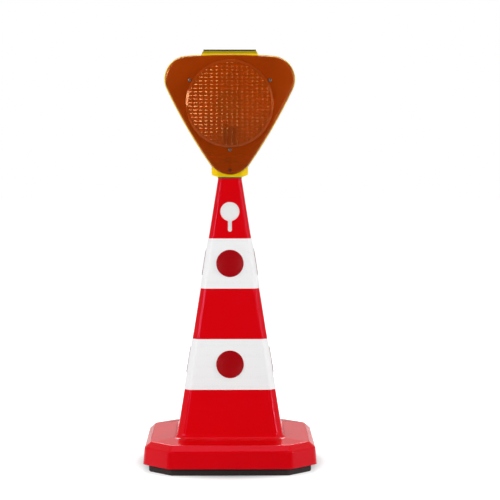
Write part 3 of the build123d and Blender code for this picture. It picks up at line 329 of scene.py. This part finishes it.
def black_plastic():
    """Black moulding of spigot, holder and switch."""
    return moulded_plastic(
        "black_moulding", (0.028, 0.028, 0.030), (0.016, 0.016, 0.018),
        roughness=0.46, grain=900.0, grain_strength=0.15,
    )


def white_sheeting():
    """White retroreflective sheeting: small sealed cells under a clear face."""
    finish = Finish("cell_sheeting")
    edge = finish.span(finish.cells(230.0, randomness=0.35), 0.0, 0.09)
    flow = finish.noise(9.0, detail=3.0)
    face = finish.blend(finish.spread(flow), (0.93, 0.93, 0.93), (0.90, 0.90, 0.905))
    finish.base(Base_Color=finish.blend(edge, (0.87, 0.87, 0.88), face))
    finish.base(Roughness=finish.span(edge, 0.0, 1.0, 0.40, 0.34), Specular_IOR_Level=0.3)
    finish.relief(edge, strength=0.03, distance=0.0002)
    return finish


def reflector_red():
    """Red reflector: cube-corner cells behind a smooth face."""
    finish = Finish("prismatic_red")
    cell = finish.cells(290.0, feature="F1", randomness=0.15)
    edge = finish.span(finish.cells(290.0, randomness=0.15), 0.0, 0.12)
    tone = finish.blend(finish.span(cell, 0.0, 0.6), (0.40, 0.001, 0.005), (0.36, 0.001, 0.004))
    finish.base(Base_Color=finish.blend(edge, (0.33, 0.001, 0.003), tone))
    finish.base(Roughness=finish.span(edge, 0.0, 1.0, 0.26, 0.20), Specular_IOR_Level=0.1)
    finish.relief(cell, strength=0.04, distance=0.0003)
    return finish


def reflector_cup():
    """Pale grey backing cup of a reflector."""
    return moulded_plastic("grey_backing", (0.60, 0.60, 0.61), (0.54, 0.54, 0.55), roughness=0.38)


def black_rubber():
    """Recycled rubber: crumbs of slightly different black pressed together, tinted red as painted
    reflection of the red base.
    """
    finish = Finish("crumb_rubber")
    crumb = finish.cells(420.0, feature="F1")
    grit = finish.noise(900.0, detail=3.0)
    # Reddish tint: painted reflection of the red base on the rubber
    tone = finish.blend(finish.span(crumb, 0.05, 0.6), (0.044, 0.018, 0.018), (0.018, 0.008, 0.008))
    finish.base(Base_Color=tone, Roughness=finish.spread(grit, 0.72, 0.92))
    finish.relief(finish.math("ADD", crumb, grit), strength=0.45, distance=0.0008)
    return finish


def amber_plastic():
    """Clear amber plastic of the lenses, darker towards the bottom, with painted shade where the
    battery holder stands behind them.
    """
    finish = Finish("amber_lens")
    flow = finish.spread(finish.noise(12.0, detail=2.0))
    upper = finish.blend(flow, (0.64, 0.096, 0.002), (0.57, 0.081, 0.002))
    across = finish.math("ABSOLUTE", finish.along("X"))
    up = finish.along("Z")
    # Lens colour darker towards the bottom
    tone = finish.blend(finish.span(up, LENS_LOW[2], LAMP_Z), (0.49, 0.066, 0.002), upper)
    # Painted shade of the battery holder behind the lens: darker colour inside its outline
    beside = finish.span(across, SHADE_HIGH[0] - SHADE_BLUR, SHADE_HIGH[0], 1.0, 0.0)
    above = finish.span(up, SHADE_HIGH[2] - SHADE_BLUR, SHADE_HIGH[2], 1.0, 0.0)
    below = finish.span(up, SHADE_LOW[2], SHADE_LOW[2] + SHADE_BLUR)
    shade = finish.math("MULTIPLY", beside, finish.math("MULTIPLY", above, below))
    finish.base(Base_Color=finish.blend(shade, tone, (0.44, 0.059, 0.002)))
    finish.base(Roughness=finish.spread(finish.noise(80.0), 0.10, 0.14))
    finish.base(Transmission_Weight=0.6, IOR=1.58, Specular_Tint=(1.0, 0.50, 0.20))
    return finish


def plated_steel():
    """Zinc-plated steel with spangle and faint turning lines, its colour darkened as painted shade, as
    if the heads sat in deeper seats.
    """
    finish = Finish("zinc_plating")
    spangle = finish.cells(700.0, feature="F1")
    upright = finish.stretched((1.0, 1.0, 0.1))
    lines = finish.noise(1500.0, detail=2.0, roughness=0.5, place=upright)
    # Dark tone: painted shade of deeper screw seats, over the spangle's own variation
    tone = finish.blend(finish.span(spangle, 0.0, 0.6), (0.27, 0.24, 0.21), (0.20, 0.18, 0.165))
    finish.base(Base_Color=tone, Metallic=1.0, Roughness=finish.spread(lines, 0.20, 0.32))
    finish.relief(lines, strength=0.05, distance=0.0002)
    return finish


def black_steel():
    """Blackened steel screw."""
    finish = Finish("blackened_steel")
    wear = finish.noise(800.0, detail=4.0, roughness=0.7)
    worn = finish.span(wear, 0.45, 0.75)
    finish.base(Base_Color=finish.blend(worn, (0.018, 0.017, 0.017), (0.06, 0.055, 0.05)))
    finish.base(Metallic=0.6, Roughness=finish.spread(wear, 0.38, 0.55))
    finish.relief(wear, strength=0.1, distance=0.0002)
    return finish


def solar_glass():
    """Dark laminated solar panel."""
    finish = Finish("solar_laminate")
    flake = finish.cells(130.0, feature="F1")
    tone = finish.blend(finish.span(flake, 0.0, 0.7), (0.012, 0.020, 0.045), (0.020, 0.030, 0.060))
    finish.base(Base_Color=tone, Roughness=finish.spread(finish.noise(40.0), 0.10, 0.18))
    finish.base(Coat_Weight=0.8, Coat_Roughness=0.06)
    return finish


def panel_frame():
    """Black edge frame and backing of the solar panel."""
    return moulded_plastic(
        "panel_border", (0.030, 0.030, 0.024), (0.020, 0.020, 0.016),
        roughness=0.40, grain=1100.0, grain_strength=0.1,
    )


def circuit_board():
    """Green solder resist with copper tracks under it."""
    finish = Finish("solder_resist")
    track = finish.span(finish.cells(180.0, feature="F1", randomness=0.4), 0.30, 0.34)
    finish.base(Base_Color=finish.blend(track, (0.020, 0.17, 0.06), (0.012, 0.10, 0.035)))
    finish.base(Roughness=finish.spread(finish.noise(300.0), 0.32, 0.45))
    finish.relief(track, strength=0.2, distance=0.0001)
    return finish


def led_resin():
    """Clear amber-tinted resin of the diodes."""
    finish = Finish("diode_resin")
    swirl = finish.noise(400.0, detail=2.0)
    tone = finish.blend(finish.spread(swirl), (0.85, 0.60, 0.22), (0.75, 0.48, 0.14))
    finish.base(Base_Color=tone)
    finish.base(Roughness=finish.spread(swirl, 0.10, 0.18), Coat_Weight=0.5)
    return finish


def cell_sleeve():
    """Green shrink sleeve of the cells, finely creased."""
    finish = Finish("cell_sleeve_film")
    crease = finish.noise(500.0, detail=4.0, roughness=0.65)
    tone = finish.blend(finish.span(crease, 0.4, 0.7), (0.03, 0.20, 0.10), (0.05, 0.26, 0.14))
    finish.base(Base_Color=tone)
    finish.base(Roughness=finish.spread(crease, 0.25, 0.4))
    finish.relief(crease, strength=0.15, distance=0.0003)
    return finish


def button_rubber():
    """Soft dark grey rubber of the push button."""
    finish = Finish("button_silicone")
    dust = finish.noise(1200.0, detail=4.0, roughness=0.6)
    tone = finish.blend(finish.span(dust, 0.35, 0.7), (0.045, 0.045, 0.05), (0.08, 0.08, 0.085))
    finish.base(Base_Color=tone)
    finish.base(Roughness=finish.spread(dust, 0.55, 0.75))
    finish.relief(dust, strength=0.2, distance=0.0003)
    return finish


def lead_sleeve():
    """Smooth insulation of the inner leads."""
    finish = Finish("lead_insulation")
    haze = finish.noise(600.0, detail=3.0)
    tone = finish.blend(finish.spread(haze), (0.05, 0.05, 0.055), (0.09, 0.09, 0.095))
    finish.base(Base_Color=tone)
    finish.base(Roughness=finish.spread(haze, 0.35, 0.5))
    return finish


FINISHES = {
    make.__name__: make().material
    for make in (
        red_plastic, white_plastic, white_sheeting, reflector_red, black_rubber, black_plastic,
        yellow_plastic, amber_plastic, plated_steel, black_steel, solar_glass, circuit_board,
        led_resin, cell_sleeve, button_rubber, lead_sleeve, reflector_cup, panel_frame,
    )
}


def dress_cad_nodes():
    """Gives every CAD node the finish of its material slot."""
    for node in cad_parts.values():
        for slot in node.material_slots:
            slot.material = FINISHES[slot.material.name]


def open_piece(piece):
    """Opens one piece alone in edit mode, with nothing in it selected."""
    bpy.ops.object.select_all(action="DESELECT")
    piece.select_set(True)
    bpy.context.view_layer.objects.active = piece
    bpy.ops.object.mode_set(mode="EDIT")
    bpy.ops.mesh.select_all(action="DESELECT")


def close_piece():
    """Back to object mode."""
    bpy.ops.object.mode_set(mode="OBJECT")


def pick_faces(piece, wanted):
    """Selects the faces whose middle and normal pass a test."""
    bpy.ops.mesh.select_mode(type="FACE")
    mesh = bmesh.from_edit_mesh(piece.data)
    for face in mesh.faces:
        face.select_set(wanted(face.calc_center_median(), face.normal))
    bmesh.update_edit_mesh(piece.data)


def pick_edges(piece, wanted):
    """Selects the edges that pass a test."""
    bpy.ops.mesh.select_mode(type="EDGE")
    mesh = bmesh.from_edit_mesh(piece.data)
    for edge in mesh.edges:
        edge.select_set(wanted(edge))
    bmesh.update_edit_mesh(piece.data)


def pick_nearest_vertex(piece, place):
    """Selects the one vertex nearest to a place."""
    bpy.ops.mesh.select_mode(type="VERT")
    mesh = bmesh.from_edit_mesh(piece.data)
    nearest = min(mesh.verts, key=lambda vertex: (vertex.co - place).length)
    nearest.select_set(True)
    bmesh.update_edit_mesh(piece.data)


def pick_upright(piece, place):
    """Selects the edge through the prism nearest to a place, seen from the front."""
    bpy.ops.mesh.select_all(action="DESELECT")
    bpy.ops.mesh.select_mode(type="EDGE")
    mesh = bmesh.from_edit_mesh(piece.data)
    through = [edge for edge in mesh.edges if abs(edge.verts[0].co.y - edge.verts[1].co.y) > SAME_PLACE]
    nearest = min(through, key=lambda edge: (edge.verts[0].co.xz - place.xz).length)
    nearest.select_set(True)
    bmesh.update_edit_mesh(piece.data)


def settle(name):
    """Names the piece just made and puts its place into its mesh."""
    piece = bpy.context.object
    piece.name = name
    bpy.ops.object.transform_apply(location=True, rotation=True, scale=True)
    return piece


def join(name, pieces):
    """Joins pieces into the first of them."""
    bpy.ops.object.select_all(action="DESELECT")
    for piece in pieces:
        piece.select_set(True)
    bpy.context.view_layer.objects.active = pieces[0]
    bpy.ops.object.join()
    return settle(name)


def apply_modifier(piece, kind, **settings):
    """Adds a modifier with its settings and applies it."""
    bpy.ops.object.select_all(action="DESELECT")
    piece.select_set(True)
    bpy.context.view_layer.objects.active = piece
    modifier = piece.modifiers.new(kind.lower(), kind)
    for key, value in settings.items():
        setattr(modifier, key, value)
    bpy.ops.object.modifier_apply(modifier=modifier.name)


def cut(piece, tool, operation="DIFFERENCE"):
    """Cuts a piece with another one, which is used up."""
    apply_modifier(piece, "BOOLEAN", object=tool, operation=operation, solver="MANIFOLD")
    bpy.data.objects.remove(tool)


def copy_piece(piece, name, change):
    """Copy of a piece with its own mesh, moved by a matrix."""
    double = piece.copy()
    double.data = piece.data.copy()
    double.name = name
    bpy.context.scene.collection.objects.link(double)
    double.data.transform(change)
    return double


def coat(piece, *slots):
    """Gives a piece its finishes, the first of them all over."""
    piece.data.materials.clear()
    for slot in slots:
        piece.data.materials.append(FINISHES[slot])


def hand_over(piece, body, slot, *nodes):
    """Ties a finished piece to its body and hides the CAD nodes it stands for; its material slot is not
    used.
    """
    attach(piece, body)
    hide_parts(*nodes)


def level_edge(edge, depth):
    """True for an edge that lies at one depth."""
    return all(abs(vertex.co.y - depth) < SAME_PLACE for vertex in edge.verts)


def polar_place(distance, turn, depth):
    """Place on the lamp: distance from its middle, turn in degrees from the right, and depth."""
    return Vector((distance * cos(radians(turn)), depth, LAMP_Z + distance * sin(radians(turn))))


def lens_prism(name, front, back):
    """Prism with the lens outline: three round corners, one of them down, and bowed sides."""
    middle = (front + back) / 2
    side_centre = LENS_SIDE_RADIUS - LENS_INRADIUS
    side_to_corner = LENS_SIDE_RADIUS - LENS_CORNER
    corner_centre = (sqrt(4 * side_to_corner**2 - 3 * side_centre**2) - side_centre) / 2
    half_arc = asin(corner_centre * sin(radians(60)) / side_to_corner)
    bpy.ops.object.select_all(action="DESELECT")
    rounds = []
    for turn in CORNER_TURNS:
        bpy.ops.mesh.primitive_cylinder_add(
            vertices=ROUND_STEPS, radius=LENS_CORNER, depth=back - front,
            location=polar_place(corner_centre, turn, middle), rotation=(pi / 2, 0, 0),
        )
        rounds.append(bpy.context.object)
    piece = join(name, rounds)
    open_piece(piece)
    for turn in CORNER_TURNS:
        centre = polar_place(side_centre, turn, middle)
        away = radians(turn) + pi + half_arc
        start = centre + LENS_SIDE_RADIUS * Vector((cos(away), 0, sin(away)))
        pick_upright(piece, start)
        bpy.ops.mesh.spin(steps=SIDE_STEPS, angle=-2 * half_arc, center=centre, axis=(0, 1, 0))
    bpy.ops.mesh.select_all(action="SELECT")
    bpy.ops.mesh.convex_hull(use_existing_faces=False)
    bpy.ops.mesh.normals_make_consistent(inside=False)
    bpy.ops.mesh.dissolve_limited(angle_limit=SIDE_MERGE)
    close_piece()
    return piece


def lens_body():
    """Outer skin of the lens: rounded rim, flat face and bevelled drum wall, open in the middle."""
    piece = lens_prism("lens_body", LENS_FACE, LENS_BACK)
    middle = Vector((0, LENS_FACE, LAMP_Z))
    open_piece(piece)
    pick_edges(piece, lambda edge: level_edge(edge, LENS_FACE))
    bpy.ops.mesh.bevel(offset=LENS_EDGE, segments=BEVEL_STEPS)
    pick_faces(piece, lambda place, normal: abs(normal.y) > FACING)
    bpy.ops.mesh.delete(type="ONLY_FACE")
    bpy.ops.mesh.primitive_circle_add(
        vertices=DRUM_STEPS, radius=DRUM_FOOT_RADIUS, location=middle, rotation=(pi / 2, 0, 0),
    )
    pick_edges(piece, lambda edge: level_edge(edge, LENS_FACE))
    bpy.ops.mesh.fill()
    pick_edges(piece, lambda edge: level_edge(edge, LENS_FACE) and edge.is_boundary)
    bpy.ops.mesh.extrude_edges_move(TRANSFORM_OT_translate={"value": (0, -DRUM_HEIGHT, 0)})
    taper = DRUM_TOP_RADIUS / DRUM_FOOT_RADIUS
    bpy.ops.transform.resize(value=(taper, 1, taper), center_override=middle)
    bpy.ops.mesh.extrude_edges_move()
    land = DRUM_LAND_RADIUS / DRUM_TOP_RADIUS
    bpy.ops.transform.resize(value=(land, 1, land), center_override=middle)
    pick_edges(piece, lambda edge: level_edge(edge, DRUM_TOP)
               and edge.calc_face_angle(0) > SMOOTH_LIMIT)
    bpy.ops.mesh.bevel(offset=DRUM_EDGE, segments=1)
    close_piece()
    return piece


def swell(rise, radius):
    """Draws the selected vertex forward, and softly all that lies within a radius of it."""
    bpy.ops.transform.translate(
        value=(0, -rise, 0), use_proportional_edit=True,
        proportional_edit_falloff="INVERSE_SQUARE", proportional_size=radius,
    )


def pillow_field():
    """Round field of pillow prisms on a low dome: one pillow, repeated and trimmed to a disc."""
    corner = (
        -(PILLOW_COLUMNS - 1) / 2 * PILLOW_WIDTH,
        DRUM_TOP,
        LAMP_Z - (PILLOW_ROWS - 1) / 2 * PILLOW_HEIGHT,
    )
    bpy.ops.object.select_all(action="DESELECT")
    bpy.ops.mesh.primitive_grid_add(
        x_subdivisions=PILLOW_STEPS[0], y_subdivisions=PILLOW_STEPS[1], size=1,
        location=corner, rotation=(pi / 2, 0, 0),
    )
    narrow = PILLOW_SQUEEZE * PILLOW_HEIGHT
    bpy.context.object.scale = (narrow, PILLOW_HEIGHT, 1)
    piece = settle("pillow_field")
    open_piece(piece)
    pick_nearest_vertex(piece, Vector(corner))
    swell(PILLOW_RISE, hypot(narrow, PILLOW_HEIGHT) / 2)
    bpy.ops.mesh.select_all(action="SELECT")
    bpy.ops.transform.resize(value=(PILLOW_WIDTH / narrow, 1, 1), center_override=corner)
    close_piece()
    across, up = (PILLOW_WIDTH, 0, 0), (0, 0, PILLOW_HEIGHT)
    for count, step in ((PILLOW_COLUMNS, across), (PILLOW_ROWS, up)):
        apply_modifier(
            piece, "ARRAY", count=count, use_relative_offset=False, use_constant_offset=True,
            constant_offset_displace=step, use_merge_vertices=True, merge_threshold=SAME_PLACE,
        )
    open_piece(piece)
    pick_nearest_vertex(piece, Vector((0, DRUM_TOP, LAMP_Z)))
    swell(DOME_RISE, DOME_RADIUS)
    bpy.ops.mesh.select_all(action="SELECT")
    bpy.ops.mesh.extrude_region_move(TRANSFORM_OT_translate={"value": (0, SLAB_DEPTH, 0)})
    bpy.ops.mesh.select_all(action="SELECT")
    bpy.ops.mesh.normals_make_consistent(inside=False)
    close_piece()
    bpy.ops.mesh.primitive_cylinder_add(
        vertices=DRUM_STEPS, radius=FIELD_RADIUS, depth=DISC_CUTTER_DEPTH,
        location=(0, DRUM_TOP, LAMP_Z), rotation=(pi / 2, 0, 0),
    )
    cut(piece, settle("disc_cutter"), "INTERSECT")
    open_piece(piece)
    pick_faces(piece, lambda place, normal: normal.y > FRONT_SIDE)
    bpy.ops.mesh.delete(type="FACE")
    close_piece()
    return piece


def sink_screws(piece):
    """Cuts the round seats of the three lens screws and the lock screw into the lens."""
    seats = [(LENS_SCREW_CIRCLE, turn, LENS_SINK_RADIUS, LENS_SINK) for turn in CORNER_TURNS]
    seats.append((LOCK_SCREW_DROP, CORNER_TURNS[-1], LOCK_SINK_RADIUS, LOCK_SINK))
    for distance, turn, radius, sink in seats:
        bpy.ops.object.select_all(action="DESELECT")
        bpy.ops.mesh.primitive_cylinder_add(
            vertices=SCREW_STEPS, radius=radius, depth=2 * sink,
            location=polar_place(distance, turn, LENS_FACE), rotation=(pi / 2, 0, 0),
        )
        cut(piece, settle("seat_cutter"))


def model_front_lens():
    """Amber front lens: moulded skin and prism field joined, given a wall and screw seats."""
    piece = join("front_lens_moulding", [lens_body(), pillow_field()])
    open_piece(piece)
    pick_edges(piece, lambda edge: edge.is_boundary
               and all(vertex.co.y < LENS_FACE - DRUM_HEIGHT / 2 for vertex in edge.verts))
    bpy.ops.mesh.bridge_edge_loops()
    bpy.ops.mesh.select_all(action="SELECT")
    bpy.ops.mesh.normals_make_consistent(inside=False)
    close_piece()
    apply_modifier(piece, "SOLIDIFY", thickness=LENS_WALL, offset=-1)
    sink_screws(piece)
    bpy.ops.object.shade_smooth_by_angle(angle=SMOOTH_LIMIT)
    return piece


def add_lenses():
    """Front lens and its copy on the rear, turned half round."""
    front = model_front_lens()
    coat(front, "amber_plastic")
    rear = copy_piece(front, "rear_lens_moulding", HALF_TURN)
    hand_over(front, "lamp_head", "amber_plastic", "front_lens")
    hand_over(rear, "lamp_head", "amber_plastic", "rear_lens")


def model_screw(name, place, head_radius, head, shank_radius, tip):
    """Pan-head screw with a cross recess, its head on place and its shank back to tip."""
    front = place.y - head
    top = (place.x, front, place.z)
    bpy.ops.object.select_all(action="DESELECT")
    bpy.ops.mesh.primitive_cylinder_add(
        vertices=SCREW_STEPS, radius=head_radius, depth=head,
        location=(place.x, place.y - head / 2, place.z), rotation=(pi / 2, 0, 0),
    )
    piece = settle(name)
    open_piece(piece)
    pick_edges(piece, lambda edge: level_edge(edge, front))
    bpy.ops.mesh.bevel(offset=SCREW_EASE * head, segments=BEVEL_STEPS)
    pick_faces(piece, lambda middle, normal: normal.y > FACING)
    bpy.ops.mesh.inset(thickness=head_radius - shank_radius)
    bpy.ops.mesh.extrude_region_move(TRANSFORM_OT_translate={"value": (0, tip - place.y, 0)})
    close_piece()
    deep = 2 * CROSS_DEPTH * head
    for wide, high in ((CROSS_LENGTH, CROSS_WIDTH), (CROSS_WIDTH, CROSS_LENGTH)):
        bpy.ops.object.select_all(action="DESELECT")
        bpy.ops.mesh.primitive_cube_add(size=1, location=top)
        bpy.context.object.scale = (wide * head_radius, deep, high * head_radius)
        blade = settle("cross_blade")
        open_piece(blade)
        pick_faces(blade, lambda middle, normal: normal.y > FACING)
        bpy.ops.transform.resize(value=(CROSS_TAPER, 1, CROSS_TAPER), center_override=top)
        close_piece()
        cut(piece, blade)
    bpy.ops.object.shade_smooth_by_angle(angle=SCREW_SMOOTH)
    return piece


def add_screws():
    """Three bright screws round each lens and one dark lock screw below each."""
    places = [polar_place(LENS_SCREW_CIRCLE, turn, LENS_FACE + LENS_SINK) for turn in CORNER_TURNS]
    first = model_screw(
        "lens_screw", places[0],
        LENS_SCREW_HEAD_RADIUS, LENS_SCREW_HEAD, LENS_SCREW_RADIUS, LENS_SCREW_TIP,
    )
    coat(first, "plated_steel")
    moves = [Matrix.Translation(place - places[0]) for place in places[1:]]
    others = [copy_piece(first, "lens_screw", move) for move in moves]
    front = join("front_lens_screw_set", [first, *others])
    rear = copy_piece(front, "rear_lens_screw_set", HALF_TURN)
    hand_over(front, "lamp_head", "plated_steel", "front_lens_screws")
    hand_over(rear, "lamp_head", "plated_steel", "rear_lens_screws")
    lock = model_screw(
        "lock_screw", polar_place(LOCK_SCREW_DROP, CORNER_TURNS[-1], LENS_FACE + LOCK_SINK),
        LOCK_SCREW_HEAD_RADIUS, LOCK_SCREW_HEAD, LOCK_SCREW_RADIUS, LOCK_SCREW_TIP,
    )
    coat(lock, "black_steel")
    pair = join("lock_screw_pair", [lock, copy_piece(lock, "lock_screw", HALF_TURN)])
    hand_over(pair, "lamp_head", "black_steel", "lens_lock_screws")


def reflector_seat(level):
    """Middle of the front reflector's seat on the upper or lower band."""
    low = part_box(f"{level}_reflector_front")[0]
    inner = REFLECTOR_THICKNESS - REFLECTOR_EDGE
    flat = REFLECTOR_RADIUS - REFLECTOR_EDGE
    reach = inner * cos(FACE_TILT) + flat * sin(FACE_TILT) + REFLECTOR_EDGE
    return Vector((0, low[1] + reach, low[2] + REFLECTOR_RADIUS * cos(FACE_TILT)))


def model_reflector(seat):
    """Round reflector: a red face with a low rim in a grey cup, and a stud behind it."""
    face = seat + FACE_OUT * REFLECTOR_THICKNESS
    bpy.ops.object.select_all(action="DESELECT")
    bpy.ops.mesh.primitive_cylinder_add(
        vertices=REFLECTOR_STEPS, radius=REFLECTOR_RADIUS, depth=REFLECTOR_THICKNESS,
        location=(seat + face) / 2, rotation=(pi / 2 - FACE_TILT, 0, 0),
    )
    piece = settle("reflector")
    open_piece(piece)
    pick_edges(piece, lambda edge: all(
        abs((vertex.co - face).dot(FACE_OUT)) < SAME_PLACE for vertex in edge.verts))
    bpy.ops.mesh.bevel(offset=REFLECTOR_EDGE, segments=BEVEL_STEPS)
    pick_faces(piece, lambda middle, normal: normal.dot(FACE_OUT) > FACING)
    bpy.ops.mesh.inset(thickness=REFLECTOR_RIM, depth=-REFLECTOR_DISH)
    pick_faces(piece, lambda middle, normal: normal.dot(FACE_OUT) < -FACING)
    bpy.ops.mesh.inset(thickness=REFLECTOR_RADIUS - REFLECTOR_STUD_RADIUS)
    bpy.ops.mesh.extrude_region_move(TRANSFORM_OT_translate={"value": -REFLECTOR_STUD * FACE_OUT})
    close_piece()
    coat(piece, "reflector_red", "reflector_cup")
    for polygon in piece.data.polygons:
        polygon.material_index = 0 if polygon.normal.dot(FACE_OUT) > REFLECTOR_RED else 1
    bpy.ops.object.shade_smooth_by_angle(angle=SCREW_SMOOTH)
    return piece


def add_reflectors():
    """One reflector on each face of both bands."""
    first_seat = reflector_seat("lower")
    first = model_reflector(first_seat)
    for level in ("upper", "lower"):
        climb = Matrix.Translation(reflector_seat(level) - first_seat)
        for side, turn in FACE_TURNS.items():
            change = Matrix.Rotation(radians(turn), 4, "Z") @ climb
            node = f"{level}_reflector_{side}"
            hand_over(copy_piece(first, f"{node}_dish", change), "cone", "reflector_red", node)
    bpy.data.objects.remove(first)


def in_panel_bed(place, normal):
    """True for a face of the solar panel's sunk bed."""
    return normal.z > FACING and abs(place.z - PANEL_BED) < SAME_PLACE


def on_panel_cell(place, normal):
    """True for the face of one of the solar panel's cells."""
    return normal.z > FACING and abs(place.z - PANEL_BED - PANEL_CELL) < SAME_PLACE


def add_solar_panel():
    """Solar panel: bordered plate with a sunk bed of separate cells."""
    middle = (PANEL_LOW + PANEL_HIGH) / 2
    size = PANEL_HIGH - PANEL_LOW
    bpy.ops.object.select_all(action="DESELECT")
    bpy.ops.mesh.primitive_cube_add(size=1, location=middle)
    bpy.context.object.scale = size
    piece = settle("solar_panel_plate")
    open_piece(piece)
    pick_edges(piece, lambda edge: all(
        abs(vertex.co.z - PANEL_HIGH.z) < SAME_PLACE for vertex in edge.verts))
    bpy.ops.mesh.bevel(offset=PANEL_EDGE, segments=BEVEL_STEPS)
    pick_faces(piece, lambda place, normal: normal.z > FACING)
    bpy.ops.mesh.inset(thickness=PANEL_FRAME, depth=-PANEL_SINK)
    bed = size - 2 * Vector((PANEL_EDGE + PANEL_FRAME, PANEL_EDGE + PANEL_FRAME, 0))
    for axis, count in ((Vector((1, 0, 0)), PANEL_COLUMNS), (Vector((0, 1, 0)), PANEL_ROWS)):
        pitch = bed.dot(axis) / count
        for step in range(1, count):
            pick_faces(piece, in_panel_bed)
            line = middle + axis * (step - count / 2) * pitch
            bpy.ops.mesh.bisect(plane_co=line, plane_no=axis)
    pick_faces(piece, in_panel_bed)
    bpy.ops.mesh.inset(thickness=PANEL_GAP, use_individual=True)
    bpy.ops.mesh.extrude_region_move(TRANSFORM_OT_translate={"value": (0, 0, PANEL_CELL)})
    close_piece()
    coat(piece, "panel_frame", "solar_glass")
    for polygon in piece.data.polygons:
        polygon.material_index = 1 if on_panel_cell(polygon.center, polygon.normal) else 0
    bpy.ops.object.shade_smooth_by_angle(angle=SCREW_SMOOTH)
    hand_over(piece, "lamp_head", "solar_glass", "solar_panel")


def add_camera():
    """Camera at the photograph's viewing angle, with no shift."""
    lens = bpy.data.cameras.new("view")
    lens.lens = CAMERA_LENS_MM
    lens.sensor_width = CAMERA_SENSOR_MM
    camera = bpy.data.objects.new("view", lens)
    bpy.context.scene.collection.objects.link(camera)
    camera.location = (0, -CAMERA_DISTANCE, CAMERA_HEIGHT)
    camera.rotation_euler = (pi / 2 - CAMERA_PITCH, 0, -CAMERA_YAW)
    bpy.context.scene.camera = camera


def add_lamps():
    """Soft boxes aimed at the object."""
    for name, facts in STUDIO_LAMPS.items():
        light = bpy.data.lights.new(name, "AREA")
        light.shape = "RECTANGLE"
        light.size, light.size_y = facts["size"]
        light.energy = facts["watts"]
        lamp = bpy.data.objects.new(name, light)
        bpy.context.scene.collection.objects.link(lamp)
        lamp.location = facts["place"]
        lamp.rotation_euler = (STUDIO_AIM - lamp.location).to_track_quat("-Z", "Y").to_euler()


def add_world():
    """White studio: pale beside the object, a little darker behind it, dark behind the camera."""
    world = bpy.data.worlds.new("studio")
    bpy.context.scene.world = world
    world.use_nodes = True
    tree = Nodes(world.node_tree)
    ray = tree.add("ShaderNodeLightPath").outputs
    way = tree.add("ShaderNodeTexCoord").outputs["Generated"]
    along = tree.add("ShaderNodeSeparateXYZ", {0: way}).outputs
    front = tree.span(along["Y"], ROOM_DARK, ROOM_PALE, ROOM_LEAST, 1.0)
    rear = tree.span(along["Y"], ROOM_SIDE, ROOM_REAR, 1.0, ROOM_REAR_LEVEL)
    low = tree.span(along["Z"], 0.0, ROOM_RISE, ROOM_LOW_LEVEL, 1.0)
    room = tree.math("MULTIPLY", tree.math("MULTIPLY", front, rear), low)
    seen = tree.math("MAXIMUM", ray["Is Camera Ray"], ray["Is Transmission Ray"])
    mirrored = tree.between(ray["Is Glossy Ray"], WORLD_LEVEL, room)
    back = world.node_tree.nodes["Background"]
    back.inputs["Color"].default_value = (1, 1, 1, 1)
    tree.put(back.inputs["Strength"], tree.between(seen, mirrored, 1.0))


def add_floor():
    """Plain white floor that keeps the object's shadow, with a painted contact shadow where its glow
    fades near the object, and is mirrored darker in front.
    """
    bpy.ops.object.select_all(action="DESELECT")
    bpy.ops.mesh.primitive_plane_add(size=FLOOR_SIZE)
    floor = bpy.context.object
    floor.name = "studio_floor"
    finish = Finish("floor_white")
    finish.base(Base_Color=(FLOOR_TONE, FLOOR_TONE, FLOOR_TONE))
    finish.base(Roughness=FLOOR_ROUGHNESS, Specular_IOR_Level=0.0)
    away = finish.add("ShaderNodeVectorMath", {0: finish.place}, operation="LENGTH").outputs
    # Painted contact shadow: the floor's glow fades near the object
    shadowed_glow = finish.span(away["Value"], FLOOR_SHADOW_NEAR, FLOOR_SHADOW_FAR, FLOOR_SHADOW_GLOW, 1.0)
    ray = finish.add("ShaderNodeLightPath").outputs
    back = finish.along("Y")
    front = finish.span(back, FLOOR_DARK_Y, FLOOR_PALE_Y, ROOM_LEAST, 1.0)
    rear = finish.span(back, FLOOR_REAR_Y, FLOOR_END_Y, 1.0, ROOM_LOW_LEVEL)
    mirrored = finish.math("MULTIPLY", ray["Is Glossy Ray"], finish.math("MULTIPLY", front, rear))
    seen = finish.math("MAXIMUM", ray["Is Camera Ray"], mirrored)
    finish.base(Emission_Color=(1, 1, 1), Emission_Strength=finish.math("MULTIPLY", seen, shadowed_glow))
    floor.data.materials.append(finish.material)


dress_cad_nodes()
add_lenses()
add_screws()
add_reflectors()
add_solar_panel()
add_camera()
add_lamps()
add_world()
add_floor()
bpy.context.scene.view_settings.view_transform = "Standard"
